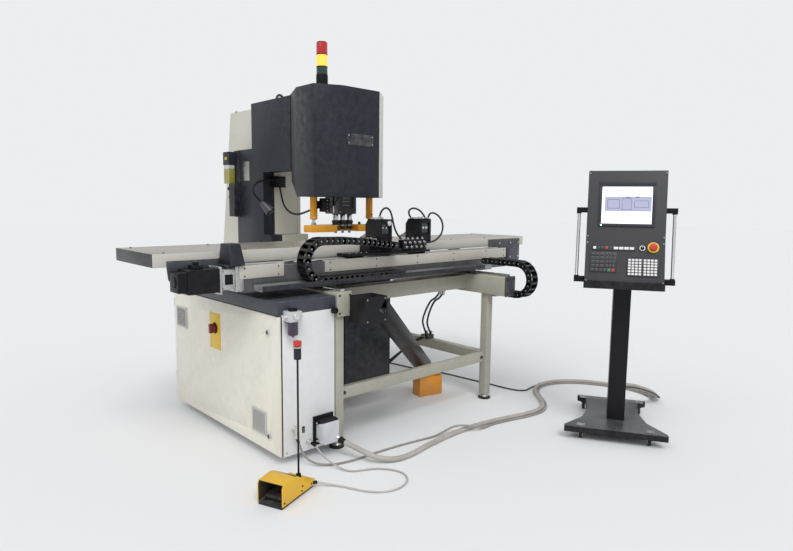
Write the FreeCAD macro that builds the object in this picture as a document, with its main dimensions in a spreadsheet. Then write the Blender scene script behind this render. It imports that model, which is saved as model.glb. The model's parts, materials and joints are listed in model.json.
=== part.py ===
import FreeCAD, Part
import math
import os
import re
import Sketcher
from FreeCAD import Placement, Rotation, Vector

# Hydraulic C-frame punching machine with a two-axis gripper table, an operator console and a foot switch.
# Machine coordinates, in millimetres: X runs right along the beam, Y runs away from the operator, Z is up.
# They start on the floor under the near corner of the electrical cabinet. Every piece is shifted by
# origin_x and origin_y, so that the frame of the finished model stands under the middle of the machine.

SIZES = {
    "origin_x": 983, "origin_y": 464.3,
    # electrical cabinet
    "cab_wide": 350, "cab_deep": 1280, "cab_low": 48, "cab_top": 800, "cab_wall": 4,
    "door_thick": 20, "door_gap": 0.4, "door_rim": 8, "door_frame": 40, "door_barrel": 7, "hinge_pin": 3,
    "roof_thick": 70, "roof_over": 8, "foot_disc": 43, "foot_disc_thick": 12, "foot_stem": 9,
    # table base frame
    "rail_wide": 100, "rail_left": 362, "rail_right": 1660, "rail_low": 755, "rail_top": 880,
    "rail_wall": 6,
    "rail_end": 1240, "rail_left_start": 0, "rail_right_start": -150, "rail_cap": 12,
    "guide_wide": 30, "guide_tall": 20, "guide_end": 1200,
    "cross_front": 190, "cross_deep": 100, "cross_low": 776, "cross_top": 870,
    "leg_wide": 55, "leg_right": 1675, "leg_front": 5, "leg_back": 1180, "low_rail": 270,
    "low_rail_tall": 67,
    "low_rail_front": 27,
    # C-frame
    "axis_x": 912, "axis_y": 655, "core_wide": 200, "core_back_top": 2010, "core_back_low": 2180,
    "core_back_knee": 1032, "core_top": 2079, "arm_front": 560, "arm_top": 1040, "ledge_front": 1250,
    "ledge_top": 1130, "throat_back": 1352, "throat_top": 1585, "upper_front": 781,
    "cover_half": 194, "cover_thick": 93.5, "cover_right_half": 130, "cover_front": 983, "cover_top": 2090,
    "cover_back": 1510,
    "cover_step": 1763, "cover_low_back": 1745, "pedestal_front": 380, "pedestal_top": 885,
    "pedestal_low": 190,
    "foot_front": 800,
    # head cover
    "head_front": 456, "head_front_half": 151, "head_half": 318, "head_side_front": 532,
    "head_right_half": 289,
    "head_right_front": 574,
    "head_side_back": 721, "head_low": 1405, "head_flare_low": 1536, "head_top": 2092, "head_wall": 4,
    "badge_wide": 215, "badge_tall": 71, "badge_low": 1733, "badge_thick": 3, "badge_screw": 5,
    # ram, punches and dies
    "ram_wide": 148, "ram_deep": 150, "ram_low": 1295, "ram_tall": 225, "ram_bore_deep": 112,
    "plunger": 55, "plunger_fit": 0.05, "plunger_top": 1860, "cylinder_wide": 236, "cylinder_low": 1560,
    "cylinder_top": 1960, "punch_pitch": 58, "punch_shank": 18, "punch_fit": 0.05, "punch_shank_top": 1350,
    "punch_collar": 23, "punch_collar_low": 1215, "punch_collar_top": 1254, "punch_body": 17,
    "punch_body_low": 1192, "punch_tip": 10, "punch_tip_low": 1167,
    "die_wide": 178, "die_deep": 110, "die_top": 1112, "die_bore": 10.5, "die_insert": 25, "die_relief": 16,
    # stripper
    "strip_reach": 235, "strip_rod": 11, "strip_fit": 0.05, "strip_low": 1178, "strip_top": 1222,
    "strip_cyl": 24, "strip_cyl_low": 1264, "strip_plate_thick": 20, "strip_end": 65,
    "strip_front": 585, "strip_back": 748, "strip_notch_half": 88, "strip_notch_back": 703,
    # signal tower, lifting eye, lubricator, work lamp
    "tower_x": 738, "tower_y": 642, "tower_base": 37.5, "tower_lens": 35, "tower_base_top": 2175,
    "tower_green_top": 2224, "tower_amber_top": 2298, "tower_red_top": 2377,
    "eye_y": 1420, "eye_ring": 28, "eye_wire": 9,
    "lamp_z": 1518, "lamp_box": 82, "lamp_deep": 46, "lamp_neck": 15,
    # moving table and beam
    "table_left": -507, "table_right": 2473, "table_front": 295, "table_back": 802, "table_low": 1049,
    "table_top": 1116, "table_skin": 8, "table_rim": 6, "slot_half": 97, "slot_start": 355,
    "beam_left": -90, "beam_right": 2090, "beam_front": 175, "beam_back": 285, "beam_low": 905,
    "beam_top": 1035, "beam_wall": 6, "beam_guide_front": 225, "beam_guide_back": 255,
    "beam_guide_top": 1050,
    "sheet_front": 170, "sheet_low": 977, "sheet_top": 1045, "sheet_lip": 200,
    "gap_left": 144, "gap_right": 412,
    "tray_front": 80, "tray_back": 165, "tray_low": 915, "tray_lip": 944, "tray_left": -42,
    "tray_right": 1732, "tray_wall": 3,
    # X drive
    "motor_half": 60, "drive_y": 225, "drive_z": 981, "motor_left": -435, "motor_right": -226,
    "flange_right": -214, "housing_half": 52, "bearing_left": -139, "hood_low": 1050, "hood_top": 1158,
    # carriage and grippers
    "plate_left": 586, "plate_right": 1274, "plate_front": 178, "plate_back": 290, "plate_low": 1055,
    "carriage_top": 1070, "deck_left": 760, "deck_right": 1250, "deck_front": 192, "deck_back": 284,
    "deck_top": 1110, "grip_one": 899, "grip_two": 1249, "grip_wide": 104, "grip_front": 200,
    "grip_back": 336, "grip_top": 1270, "jaw_wide": 60, "jaw_reach": 425, "jaw_low": 1120,
    "jaw_gap_low": 1132, "jaw_open": 12, "jaw_thick": 24, "jaw_stem": 30, "jaw_slide": 0.3,
    # energy chains
    "chain_tall": 42, "x_chain_front": 84, "x_chain_wide": 77, "x_chain_low": 939, "x_chain_turn": 110,
    "x_chain_left": 240, "y_chain_gap": 5, "y_chain_wide": 75, "y_chain_low": 756, "y_chain_turn": 107,
    "y_chain_front": -267,
    # scrap chute and bin
    "chute_box_left": 446, "chute_box_wide": 155, "chute_box_front": -150, "chute_box_deep": 138,
    "chute_box_low": 718, "chute_box_top": 865, "chute_wall": 3, "chute_wide": 90, "chute_tall": 80,
    "bin_x": 1459, "bin_y": 361, "bin_long": 190, "bin_deep": 96, "bin_tall": 138, "bin_wall": 2,
    "bin_turn": -12.4,
    # console
    "console_x": 1682, "console_y": -962, "console_turn": -60, "base_front": 87, "base_back": -546,
    "base_front_half": 284, "base_back_half": 214, "base_waist_half": 150, "base_low": 46, "base_top": 80,
    "caster_wheel": 21, "caster_wide": 18, "caster_axle": 3, "caster_fit": 0.05, "caster_side": 190,
    "post_wide": 98, "post_deep": 110, "post_front": -112, "post_top": 915, "post_wall": 4,
    "console_half": 210, "console_low": 930, "console_fold": 1175, "console_top": 1567,
    "lip_front": 95, "fold_front": 20, "crown_front": -38, "crown_back": -200, "sole_back": -262,
    "tray_over": 4, "handle_reach": 45, "handle_rod": 9, "handle_low": 933, "handle_top": 1358,
    # foot switch
    "pedal_x": -252, "pedal_y": -318, "pedal_turn": 22, "hood_half": 70, "hood_long": 262, "hood_tall": 118,
    "hood_flat": 96, "hood_rear": 46, "hood_skin": 5, "sole_thick": 12, "pedal_wide": 96, "pedal_long": 150,
    "pole_at": 226, "pole_radius": 5, "pole_top": 632, "holder_radius": 18, "holder_top": 688,
    "stop_head": 20, "stop_neck": 8, "stop_fit": 0.05, "stop_travel": 5,
}

doc = FreeCAD.newDocument("punching_machine")
sheet = doc.addObject("Spreadsheet::Sheet", "Sizes")
for row, (alias, size) in enumerate(SIZES.items(), start=1):
    sheet.set(f"A{row}", alias)
    sheet.set(f"B{row}", str(size))
    sheet.setAlias(f"B{row}", alias)
doc.recompute()

NODES = {}
MACHINE = ("origin_x", "origin_y")
LOCAL = ("0", "0")


def bind(text):
    """An expression over the sheet's aliases, as the document spells it."""
    return re.sub(r"[a-z][a-z0-9_]*",
                  lambda word: "Sizes." + word.group() if word.group() in SIZES else word.group(),
                  str(text))


def node(name, piece):
    """Names a finished sub-part, which is written to its own file."""
    piece.Label = name
    NODES[name] = piece
    return piece


def place(piece, x, y, z, turn=None, frame=MACHINE):
    if turn is not None:
        piece.Placement = Placement(Vector(0, 0, 0), turn)
    piece.setExpression("Placement.Base.x", bind(f"({x}) - {frame[0]}"))
    piece.setExpression("Placement.Base.y", bind(f"({y}) - {frame[1]}"))
    piece.setExpression("Placement.Base.z", bind(z))
    return piece


def box(x, y, z, wide, deep, tall, frame=MACHINE, turn=None):
    piece = doc.addObject("Part::Box", "Box")
    for side, size in (("Length", wide), ("Width", deep), ("Height", tall)):
        piece.setExpression(side, bind(size))
    return place(piece, x, y, z, turn, frame)


def span(x, y, z, frame=MACHINE):
    """A box from its limits: each of x, y and z is a pair of lowest and highest values."""
    sizes = [f"({high}) - ({low})" for low, high in (x, y, z)]
    return box(x[0], y[0], z[0], *sizes, frame=frame)


AXES = {"x": Rotation(Vector(0, 1, 0), 90), "y": Rotation(Vector(1, 0, 0), -90), "z": Rotation()}


def rod(x, y, z, radius, length, axis="z", frame=MACHINE):
    piece = doc.addObject("Part::Cylinder", "Rod")
    piece.setExpression("Radius", bind(radius))
    piece.setExpression("Height", bind(length))
    return place(piece, x, y, z, AXES[axis], frame)


def taper(x, y, z, low, high, length, axis="z", frame=MACHINE):
    piece = doc.addObject("Part::Cone", "Taper")
    piece.setExpression("Radius1", bind(low))
    piece.setExpression("Radius2", bind(high))
    piece.setExpression("Height", bind(length))
    return place(piece, x, y, z, AXES[axis], frame)


def cut(base, *tools):
    for tool in tools:
        piece = doc.addObject("Part::Cut", "Cut")
        piece.Base = base
        piece.Tool = tool
        base = piece
    return base


def fuse(*shapes):
    piece = doc.addObject("Part::MultiFuse", "Fuse")
    piece.Shapes = list(shapes)
    return piece


def group(*shapes):
    """Separate solids that belong to one node."""
    piece = doc.addObject("Part::Compound", "Group")
    piece.Links = list(shapes)
    return piece


PLANES = {"XY": ("XY_Plane", False), "XZ": ("XZ_Plane", True), "YZ": ("YZ_Plane", False)}


def outline(sketch, points):
    """A closed outline whose every corner is held by two driving distances."""
    first = sketch.GeometryCount
    count = len(points)
    for i in range(count):
        sketch.addGeometry(Part.LineSegment(Vector(i, i * i, 0), Vector(i + 1, (i + 1) ** 2, 0)))
    for i in range(count):
        sketch.addConstraint(Sketcher.Constraint("Coincident", first + i, 2, first + (i + 1) % count, 1))
    for i, (u, v) in enumerate(points):
        for kind, size in (("DistanceX", u), ("DistanceY", v)):
            held = sketch.addConstraint(Sketcher.Constraint(kind, -1, 1, first + i, 1, float(i)))
            sketch.setExpression(f"Constraints[{held}]", bind(size))


def profile(plane, points, start, length, holes=(), windows=(), frame=MACHINE):
    """A body padded from an outline: XY pads up from start, XZ away along Y, YZ to the right along X."""
    role, reversed_pad = PLANES[plane]
    body = doc.addObject("PartDesign::Body", "Body")
    sketch = body.newObject("Sketcher::SketchObject", "Outline")
    origin_plane = next(item for item in body.Origin.OriginFeatures if item.Role == role)
    sketch.AttachmentSupport = [(origin_plane, "")]
    sketch.MapMode = "FlatFace"
    outline(sketch, points)
    for window in windows:
        outline(sketch, window)
    for u, v, radius in holes:
        ring = sketch.addGeometry(Part.Circle(Vector(1, 1, 0), Vector(0, 0, 1), 1))
        for kind, where, size in (("DistanceX", 3, u), ("DistanceY", 3, v)):
            held = sketch.addConstraint(Sketcher.Constraint(kind, -1, 1, ring, where, 1.0))
            sketch.setExpression(f"Constraints[{held}]", bind(size))
        held = sketch.addConstraint(Sketcher.Constraint("Radius", ring, 1.0))
        sketch.setExpression(f"Constraints[{held}]", bind(radius))
    pad = body.newObject("PartDesign::Pad", "Pad")
    pad.Profile = sketch
    pad.Reversed = reversed_pad
    pad.setExpression("Length", bind(length))
    offset = {"XY": ("0", "0", start), "XZ": ("0", start, "0"), "YZ": (start, "0", "0")}[plane]
    return place(body, *offset, frame=frame)


def turned(points, x, y, frame=MACHINE):
    """A body turned about a vertical axis at x, y from an outline of radius and height."""
    body = doc.addObject("PartDesign::Body", "Turned")
    sketch = body.newObject("Sketcher::SketchObject", "HalfOutline")
    origin_plane = next(item for item in body.Origin.OriginFeatures if item.Role == "XZ_Plane")
    sketch.AttachmentSupport = [(origin_plane, "")]
    sketch.MapMode = "FlatFace"
    outline(sketch, points)
    spin = body.newObject("PartDesign::Revolution", "Revolution")
    spin.Profile = sketch
    spin.ReferenceAxis = (sketch, ["V_Axis"])
    spin.Angle = 360
    return place(body, x, y, "0", frame=frame)


def seat(pieces, x, y, turn):
    """Stands pieces that were built about their own origin on the floor at x, y, turned about Z."""
    return place(group(*pieces), x, y, "0", Rotation(Vector(0, 0, 1), turn))


def tapering(low, low_z, high, high_z):
    """A straight-sided cover between two level rectangles, each a pair of corners."""
    piece = doc.addObject("Part::Wedge", "Tapering")
    (left, front), (right, back) = low
    (top_left, top_front), (top_right, top_back) = high
    # the wedge's own Y axis is turned up, so its Z runs towards the operator
    for name, size in (
            ("Ymin", 0), ("Ymax", f"({high_z}) - ({low_z})"), ("Xmin", left), ("Xmax", right),
            ("X2min", top_left), ("X2max", top_right), ("Zmin", f"-({back})"), ("Zmax", f"-({front})"),
            ("Z2min", f"-({top_back})"), ("Z2max", f"-({top_front})")):
        piece.setExpression(name, bind(size))
    return place(piece, "0", "0", low_z, Rotation(Vector(1, 0, 0), 90))


def path_wire(points, radii):
    """Straight runs through the points, joined by tangent arcs of the given radii."""
    edges = []
    last = Vector(points[0])
    for i, radius in enumerate(radii, start=1):
        before = (points[i - 1] - points[i]).normalize()
        after = (points[i + 1] - points[i]).normalize()
        half = before.getAngle(after) / 2
        leg = radius / math.tan(half)
        start = points[i] + before * leg
        end = points[i] + after * leg
        bisector = (before + after).normalize()
        middle = points[i] + bisector * (radius / math.sin(half) - radius)
        if (start - last).Length > 1e-6:
            edges.append(Part.LineSegment(last, start).toShape())
        edges.append(Part.Arc(start, middle, end).toShape())
        last = end
    if (points[-1] - last).Length > 1e-6:
        edges.append(Part.LineSegment(last, points[-1]).toShape())
    return Part.Wire(edges)


def cord_radii(points):
    """Each arc takes 0.45 of its shorter run, so that neighbouring arcs never meet."""
    radii = []
    for before, at, after in zip(points, points[1:], points[2:]):
        turn = (at - before).getAngle(after - at)
        radii.append(0.45 * min((at - before).Length, (after - at).Length) / math.tan(turn / 2))
    return radii


def tube(name, points, diameter, radii=None):
    """A round tube along a route, as one plain feature."""
    points = [Vector(*point) for point in points]
    radii = cord_radii(points) if radii is None else radii
    wire = path_wire(points, radii)
    start = (points[1] - points[0]).normalize()
    ring = Part.Wire(Part.Circle(points[0], start, diameter / 2).toShape())
    shape = wire.makePipeShell([ring], True, False)
    section = math.pi * diameter ** 2 / 4
    lowest = min(point.z for point in points) - diameter / 2
    print(f"{name}: length {wire.Length:.0f}, least radius {min(radii):.0f}, lowest {lowest:.1f}, "
          f"volume over section times length {shape.Volume / (section * wire.Length):.4f}")
    return shape


def feature(name, shape):
    piece = doc.addObject("Part::Feature", name)
    piece.Shape = shape
    return place(piece, "0", "0", "0")


def chain_strap(points, radii, across, wide, tall):
    """A band of rectangular section along a flat route; across is the direction of its width."""
    wire = path_wire(points, radii)
    along = (points[1] - points[0]).normalize()
    up = along.cross(across).normalize()
    corners = [points[0] + across * (wide * i) + up * (tall * j)
               for i, j in ((-0.5, -0.5), (0.5, -0.5), (0.5, 0.5), (-0.5, 0.5))]
    ring = Part.makePolygon(corners + [corners[0]])
    shell = Part.BRepOffsetAPI.MakePipeShell(wire)
    shell.setBiNormalMode(across)
    shell.add(ring)
    shell.build()
    shell.makeSolid()
    return shell.shape()


# Electrical cabinet

def cabinet():
    left = "door_thick + door_gap"
    inside = "cab_wall"
    case = span((left, "cab_wide"), ("0", "cab_deep"), ("cab_low", "cab_top"))
    room = span((f"{left} + {inside}", f"cab_wide - {inside}"), (inside, f"cab_deep - {inside}"),
                (f"cab_low + {inside}", f"cab_top - {inside}"))
    doorway = span(("door_thick - 5", f"{left} + 2*{inside}"), ("door_frame", "cab_deep - door_frame"),
                   ("cab_low + door_frame", "cab_top - door_frame"))
    shell = cut(case, room, doorway)
    barrels = []
    for height in (160, 640):
        pin = rod("door_thick/2", "cab_deep + 12", height + 45.5, "hinge_pin", "40")
        barrel = rod("door_thick/2", "cab_deep + 12", height - 40, "door_barrel", "84")
        leaf = span(("door_thick/2", "door_thick + 25"), ("cab_deep", "cab_deep + 8"),
                    (height - 40, height + 44))
        pin_root = rod("door_thick/2", "cab_deep + 12", height + 30, "hinge_pin", "20")
        barrels += [barrel, leaf, pin_root, pin]
    feet = []
    for x in ("170", "cab_wide - 60"):
        for y in ("170", "cab_deep - 60"):
            feet.append(fuse(rod(x, y, "0", "foot_disc", "foot_disc_thick"),
                             rod(x, y, "0", "foot_stem", "cab_low")))
    panel = fuse(
        box("cab_wide - 20", "120", "110", "10", "1040", "620"),
        box("cab_wide - 14", "600", "400", "14 - cab_wall", "80", "60"),
        *[box("cab_wide - 90", y, z, "72", wide, tall) for y, z, wide, tall in
          (("160", "540", "300", "150"), ("520", "520", "240", "180"), ("820", "540", "280", "140"),
           ("180", "220", "420", "180"), ("680", "200", "400", "220"))])
    node("cabinet_shell", group(fuse(shell, *barrels), panel))

    door = span(("0", "door_thick"), ("1", "cab_deep - 1"), ("cab_low + door_rim", "cab_top - door_rim"))
    hollow = span(("3", "door_thick + 1"), ("25", "cab_deep - 25"), ("cab_low + 30", "cab_top - 30"))
    door = cut(door, hollow)
    knuckles = []
    for height in (160, 640):
        knuckle = rod("door_thick/2", "cab_deep + 12", height + 44.5, "door_barrel", "45")
        strap = span(("door_thick/2 - 4", "door_thick/2 + 4"), ("cab_deep - 2", "cab_deep + 8"),
                     (height + 44.5, height + 89.5))
        bore = rod("door_thick/2", "cab_deep + 12", height + 40, "hinge_pin + 0.05", "60")
        knuckles.append(cut(fuse(knuckle, strap), bore))
    # louvred grilles are raised frames on the door skin
    grilles = [box("-3", y, z, "4", "146", "132") for y, z in (("1083", "562"), ("122", "134"))]
    switch_plate = box("-3", "636", "502", "4", "128", "214")
    holes = [rod("-10", y, z, "6.05", "30", "x") for y,
             z in (("101", "700"), ("101", "140"), ("700", "627"))]
    node("cabinet_door", cut(fuse(door, *grilles, switch_plate, *knuckles), *holes))
    for name, y, z, tongue_low in (("door_lock_upper", "101", "700", "634"),
                                   ("door_lock_lower", "101", "140", "132")):
        cap = rod("-8", y, z, "15", "7.7", "x")
        shaft = rod("-2", y, z, "6", "30", "x")
        tongue = box("25", f"{y} - 8", tongue_low, "3", "16", "74")
        node(name, fuse(cap, shaft, tongue))
    knob = rod("-22", "700", "627", "26", "18.7", "x")
    grip = box("-38", "690", "600", "20", "20", "54")
    spindle = rod("-6", "700", "627", "6", "22", "x")
    node("main_switch", fuse(knob, grip, spindle))
    node("cabinet_roof", profile("XY", [
        ("-roof_over", "0"), ("cab_wide + roof_over + 3", "0"),
        ("cab_wide + roof_over + 3", "cab_deep + roof_over"),
        ("-roof_over", "cab_deep + roof_over")], "cab_top", "roof_thick"))
    return feet


def cabinet_fittings():
    bowl_y = "-36"
    unit = fuse(box("27", "-66", "772", "70", "66", "52"), rod("62", bowl_y, "812", "22", "26"),
                rod("62", bowl_y, "704", "27", "70"), rod("8", bowl_y, "797", "9", "110", "x"))
    elbow = fuse(rod("85", "-30", "188", "10", "30", "y"), rod("85", "-8", "188", "14", "8", "y"),
                 rod("85", "-30", "150", "11", "51"))
    glands = [elbow, fuse(rod("176", "-30", "95", "10", "30", "y"), rod("176", "-8", "95", "14", "8", "y"))]
    socket = box("136", "-4", "154", "15", "4", "33")
    side_knob = fuse(rod("338", "-30", "792", "17", "22", "y"), rod("338", "-8", "792", "10", "8", "y"))
    flange = box("204", "-8", "66", "132", "8", "160")
    clamps = [box("206", "-26", z, "128", "18", "18") for z in ("88", "186")]
    hood = box("222", "-82", "86", "98", "74", "120")
    slant = Rotation(Vector(0, 0, 1), Vector(0.40, -0.80, -0.45))
    outlet = [place(rod("0", "0", "0", radius, length), "306", "-48", "113", slant)
              for radius, length in (("21", "32"), ("17", "46"))]
    connector = fuse(flange, *clamps, hood, *outlet)
    node("cabinet_fittings", group(unit, *glands, socket, side_knob, connector))


# Table base frame

def base_frame(cabinet_feet):
    rails = []
    caps = []
    guides = []
    starts = {"rail_left": "rail_left_start", "rail_right": "rail_right_start"}
    for left, start in starts.items():
        tube_outer = span((left, f"{left} + rail_wide"), (start, "rail_end"), ("rail_low", "rail_top"))
        tube_inner = span((f"{left} + rail_wall", f"{left} + rail_wide - rail_wall"),
                          (f"{start} - 5", "rail_end + 5"),
                          ("rail_low + rail_wall", "rail_top - rail_wall"))
        rails.append(cut(tube_outer, tube_inner))
        caps.append(span((left, f"{left} + rail_wide"), (f"{start} - rail_cap", start),
                         ("rail_low - 4", "rail_top + 8")))
        guides.append(span((f"{left} + rail_wide/2 - guide_wide/2", f"{left} + rail_wide/2 + guide_wide/2"),
                           (f"{start} + 5", "guide_end"), ("rail_top", "rail_top + guide_tall")))
    chain_bracket = profile("XZ", [
        ("rail_right + rail_wide", "y_chain_low - chain_tall/2 - 10"),
        ("rail_right + rail_wide + y_chain_gap + y_chain_wide", "y_chain_low - chain_tall/2 - 10"),
        ("rail_right + rail_wide + y_chain_gap + y_chain_wide", "y_chain_low - chain_tall/2"),
        ("rail_right + rail_wide + y_chain_gap", "y_chain_low - chain_tall/2"),
        ("rail_right + rail_wide + y_chain_gap", "rail_low + 60"),
        ("rail_right + rail_wide", "rail_low + 60")], "0", "60")
    node("side_rails", group(*rails, *caps, chain_bracket))
    node("rail_guides", group(*guides))
    cross = span(("rail_left + rail_wide", "rail_right"), ("cross_front", "cross_front + cross_deep"),
                 ("cross_low", "cross_top"))
    legs = []
    for x in ("rail_left", "leg_right"):
        for y in ("leg_front", "leg_back"):
            legs.append(box(x, y, "foot_disc_thick + 18", "leg_wide", "leg_wide",
                            "rail_low - foot_disc_thick - 18"))
    low_front = span(("rail_left + leg_wide", "leg_right"), ("low_rail_front", "low_rail_front + 33"),
                     ("low_rail", "low_rail + low_rail_tall"))
    low_sides = [span((x, f"{x} + leg_wide"), ("leg_front + leg_wide", "leg_back"),
                      ("low_rail", "low_rail + low_rail_tall")) for x in ("rail_left", "leg_right")]
    hose_block = span(("1655", "1728"), ("560", "632"),
                      ("low_rail + low_rail_tall", "low_rail + low_rail_tall + 30"))
    nipples = [rod("1450", y, "cross_low - 20", "11", "20") for y in ("250", "216")]
    node("base_frame", group(fuse(*legs, low_front, *low_sides, hose_block), fuse(cross, *nipples)))
    feet = list(cabinet_feet)
    for x in ("rail_left + leg_wide/2", "leg_right + leg_wide/2"):
        for y in ("leg_front + leg_wide/2", "leg_back + leg_wide/2"):
            feet.append(fuse(rod(x, y, "0", "foot_disc", "foot_disc_thick"),
                             rod(x, y, "0", "foot_stem", "foot_disc_thick + 18")))
    node("levelling_feet", group(*feet))


# C-frame

def c_frame():
    left = "axis_x - core_wide/2"
    core = profile("YZ", [
        ("foot_front", "0"), ("foot_front", "pedestal_low"), ("arm_front", "pedestal_low"),
        ("arm_front", "arm_top"),
        ("ledge_front", "arm_top"), ("ledge_front", "ledge_top"),
        ("throat_back", "ledge_top"), ("throat_back", "throat_top"), ("upper_front", "throat_top"),
        ("upper_front", "core_top"), ("core_back_top", "core_top"), ("core_back_low", "core_back_knee"),
        ("core_back_low", "0")], left, "core_wide")
    node("frame_core", core)
    sides = []
    for start, thick in (("axis_x - cover_half", "cover_thick"),
                         ("axis_x + core_wide/2 + 0.5", "cover_right_half - core_wide/2 - 0.5")):
        sides.append(profile("YZ", [
            ("foot_front", "0"), ("foot_front", "pedestal_low"), ("arm_front", "pedestal_low"),
            ("arm_front", "arm_top - 262"), ("ledge_front", "arm_top - 262"),
            ("ledge_front", "ledge_top"), ("throat_back", "ledge_top"), ("throat_back", "throat_top"),
            ("cover_front", "throat_top"), ("cover_front", "cover_top"), ("cover_back", "cover_top"),
            ("cover_back", "cover_step"), ("cover_low_back", "cover_step"), ("cover_low_back", "0")],
            start, thick))
    pedestal = span(("axis_x - cover_half", "axis_x + cover_half"), ("pedestal_front", "arm_front - 0.5"),
                    ("pedestal_low", "pedestal_top"))
    cable_gland = rod("axis_x + cover_right_half - 5", "1450", "60", "11", "35", "x")
    sides[1] = fuse(sides[1], cable_gland)
    node("frame_covers", group(*sides, pedestal))

    holder = span(("axis_x - die_wide/2", "axis_x + die_wide/2"),
                  ("axis_y - die_deep/2", "axis_y + die_deep/2"),
                  ("arm_top", "die_top - 6"))
    wells = [rod(f"axis_x + ({step})*punch_pitch", "axis_y", "die_top - 40", "die_insert",
                 "50") for step in (-1, 0, 1)]
    ways = [rod(f"axis_x + ({step})*punch_pitch", "axis_y", "arm_top - 5", "die_relief",
                "60") for step in (-1, 0, 1)]
    dies = []
    for step in (-1, 0, 1):
        at = f"axis_x + ({step})*punch_pitch"
        dies.append(cut(rod(at, "axis_y", "die_top - 40", "die_insert", "40"),
                        rod(at, "axis_y", "die_top - 45", "die_bore + 2", "27"),
                        rod(at, "axis_y", "die_top - 25", "die_bore", "30")))
    node("die_holder", group(cut(holder, *wells, *ways), *dies))
    node("lifting_eye", fuse(rod("axis_x", "eye_y", "core_top", "26", "12"),
                             rod("axis_x", "eye_y", "core_top", "12", "30"),
                             ring("axis_x", "eye_y", "core_top + 30 + eye_ring")))


def ring(x, y, z):
    piece = doc.addObject("Part::Torus", "Ring")
    piece.setExpression("Radius1", bind("eye_ring"))
    piece.setExpression("Radius2", bind("eye_wire"))
    return place(piece, x, y, z, Rotation(Vector(1, 0, 0), 90))


def head():
    def plan(wall, back):
        return [
            (f"axis_x - head_front_half + {wall}/2", f"head_front + {wall}"),
            (f"axis_x + head_front_half - {wall}/2", f"head_front + {wall}"),
            (f"axis_x + head_right_half - {wall}", f"head_right_front + {wall}/2"),
            (f"axis_x + head_right_half - {wall}", f"head_side_back - {wall}/2"),
            (f"axis_x + cover_right_half - {wall}", f"cover_front + {back}"),
            (f"axis_x - cover_half + {wall}", f"cover_front + {back}"),
            (f"axis_x - head_half + {wall}", f"head_side_back - {wall}/2"),
            (f"axis_x - head_half + {wall}", f"head_side_front + {wall}/2")]
    outer = profile("XY", plan("0", "-0.5"), "head_low", "head_top - head_low")
    inner = profile("XY", plan("head_wall", "10"), "head_low - 5", "head_top - head_low + 5 - head_wall")
    flare = profile("YZ", [
        ("head_side_back", "head_low - 5"), ("cover_front + 20", "head_low - 5"),
        ("cover_front + 20", "head_flare_low"),
        ("head_side_back", "head_low")], "axis_x - head_half - 10", "2*head_half + 20")
    node("head_cover", cut(outer, inner, flare))
    plate = span(("axis_x - 10 - badge_wide/2", "axis_x - 10 + badge_wide/2"),
                 ("head_front - badge_thick", "head_front"),
                 ("badge_low", "badge_low + badge_tall"))
    screws = [rod(f"axis_x - 10 + ({i})*(badge_wide/2 - 12)", "head_front - badge_thick - 3",
                  f"badge_low + badge_tall/2 + ({j})*(badge_tall/2 - 12)", "badge_screw", "3", "y")
              for i in (-1, 1) for j in (-1, 1)]
    side_plate = span(("axis_x - cover_half - 2", "axis_x - cover_half"), ("1548", "1636"),
                      ("1528", "1672"))
    node("name_plates", group(plate, side_plate, *screws))
    half = "cylinder_wide/2"
    body = span((f"axis_x - {half}", f"axis_x + {half}"), ("upper_front - cylinder_wide", "upper_front"),
                ("cylinder_low", "cylinder_top"))
    bore = rod("axis_x", "axis_y", "cylinder_low - 5", "plunger + plunger_fit",
               "plunger_top + 45 - cylinder_low")
    node("ram_cylinder", cut(body, bore))
    block = span(("axis_x - ram_wide/2", "axis_x + ram_wide/2"), ("axis_y - 55", "axis_y - 55 + ram_deep"),
                 ("ram_low", "ram_low + ram_tall"))
    window = span(("axis_x - ram_wide/2 + 26", "axis_x + ram_wide/2 - 26"), ("axis_y - 60", "axis_y - 40"),
                  ("ram_low + 42", "ram_low + 120"))
    bores = [rod(f"axis_x + ({step})*punch_pitch", "axis_y", "ram_low - 5", "punch_shank + punch_fit",
                 "ram_bore_deep + 5") for step in (-1, 0, 1)]
    plunger = rod("axis_x", "axis_y", "ram_low + ram_tall - 5", "plunger",
                  "plunger_top - ram_low - ram_tall + 5")
    node("ram_block", cut(fuse(block, plunger), window, *bores))
    for name, step in (("punch_left", -1), ("punch_middle", 0), ("punch_right", 1)):
        node(name, turned([
            ("0", "punch_tip_low"), ("punch_tip", "punch_tip_low"), ("punch_tip", "punch_body_low"),
            ("punch_body", "punch_body_low + 5"), ("punch_body", "punch_collar_low"),
            ("punch_collar", "punch_collar_low"), ("punch_collar", "punch_collar_top"),
            ("punch_shank", "punch_collar_top"), ("punch_shank", "punch_shank_top"),
            ("0", "punch_shank_top")],
            f"axis_x + ({step})*punch_pitch", "axis_y"))


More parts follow.
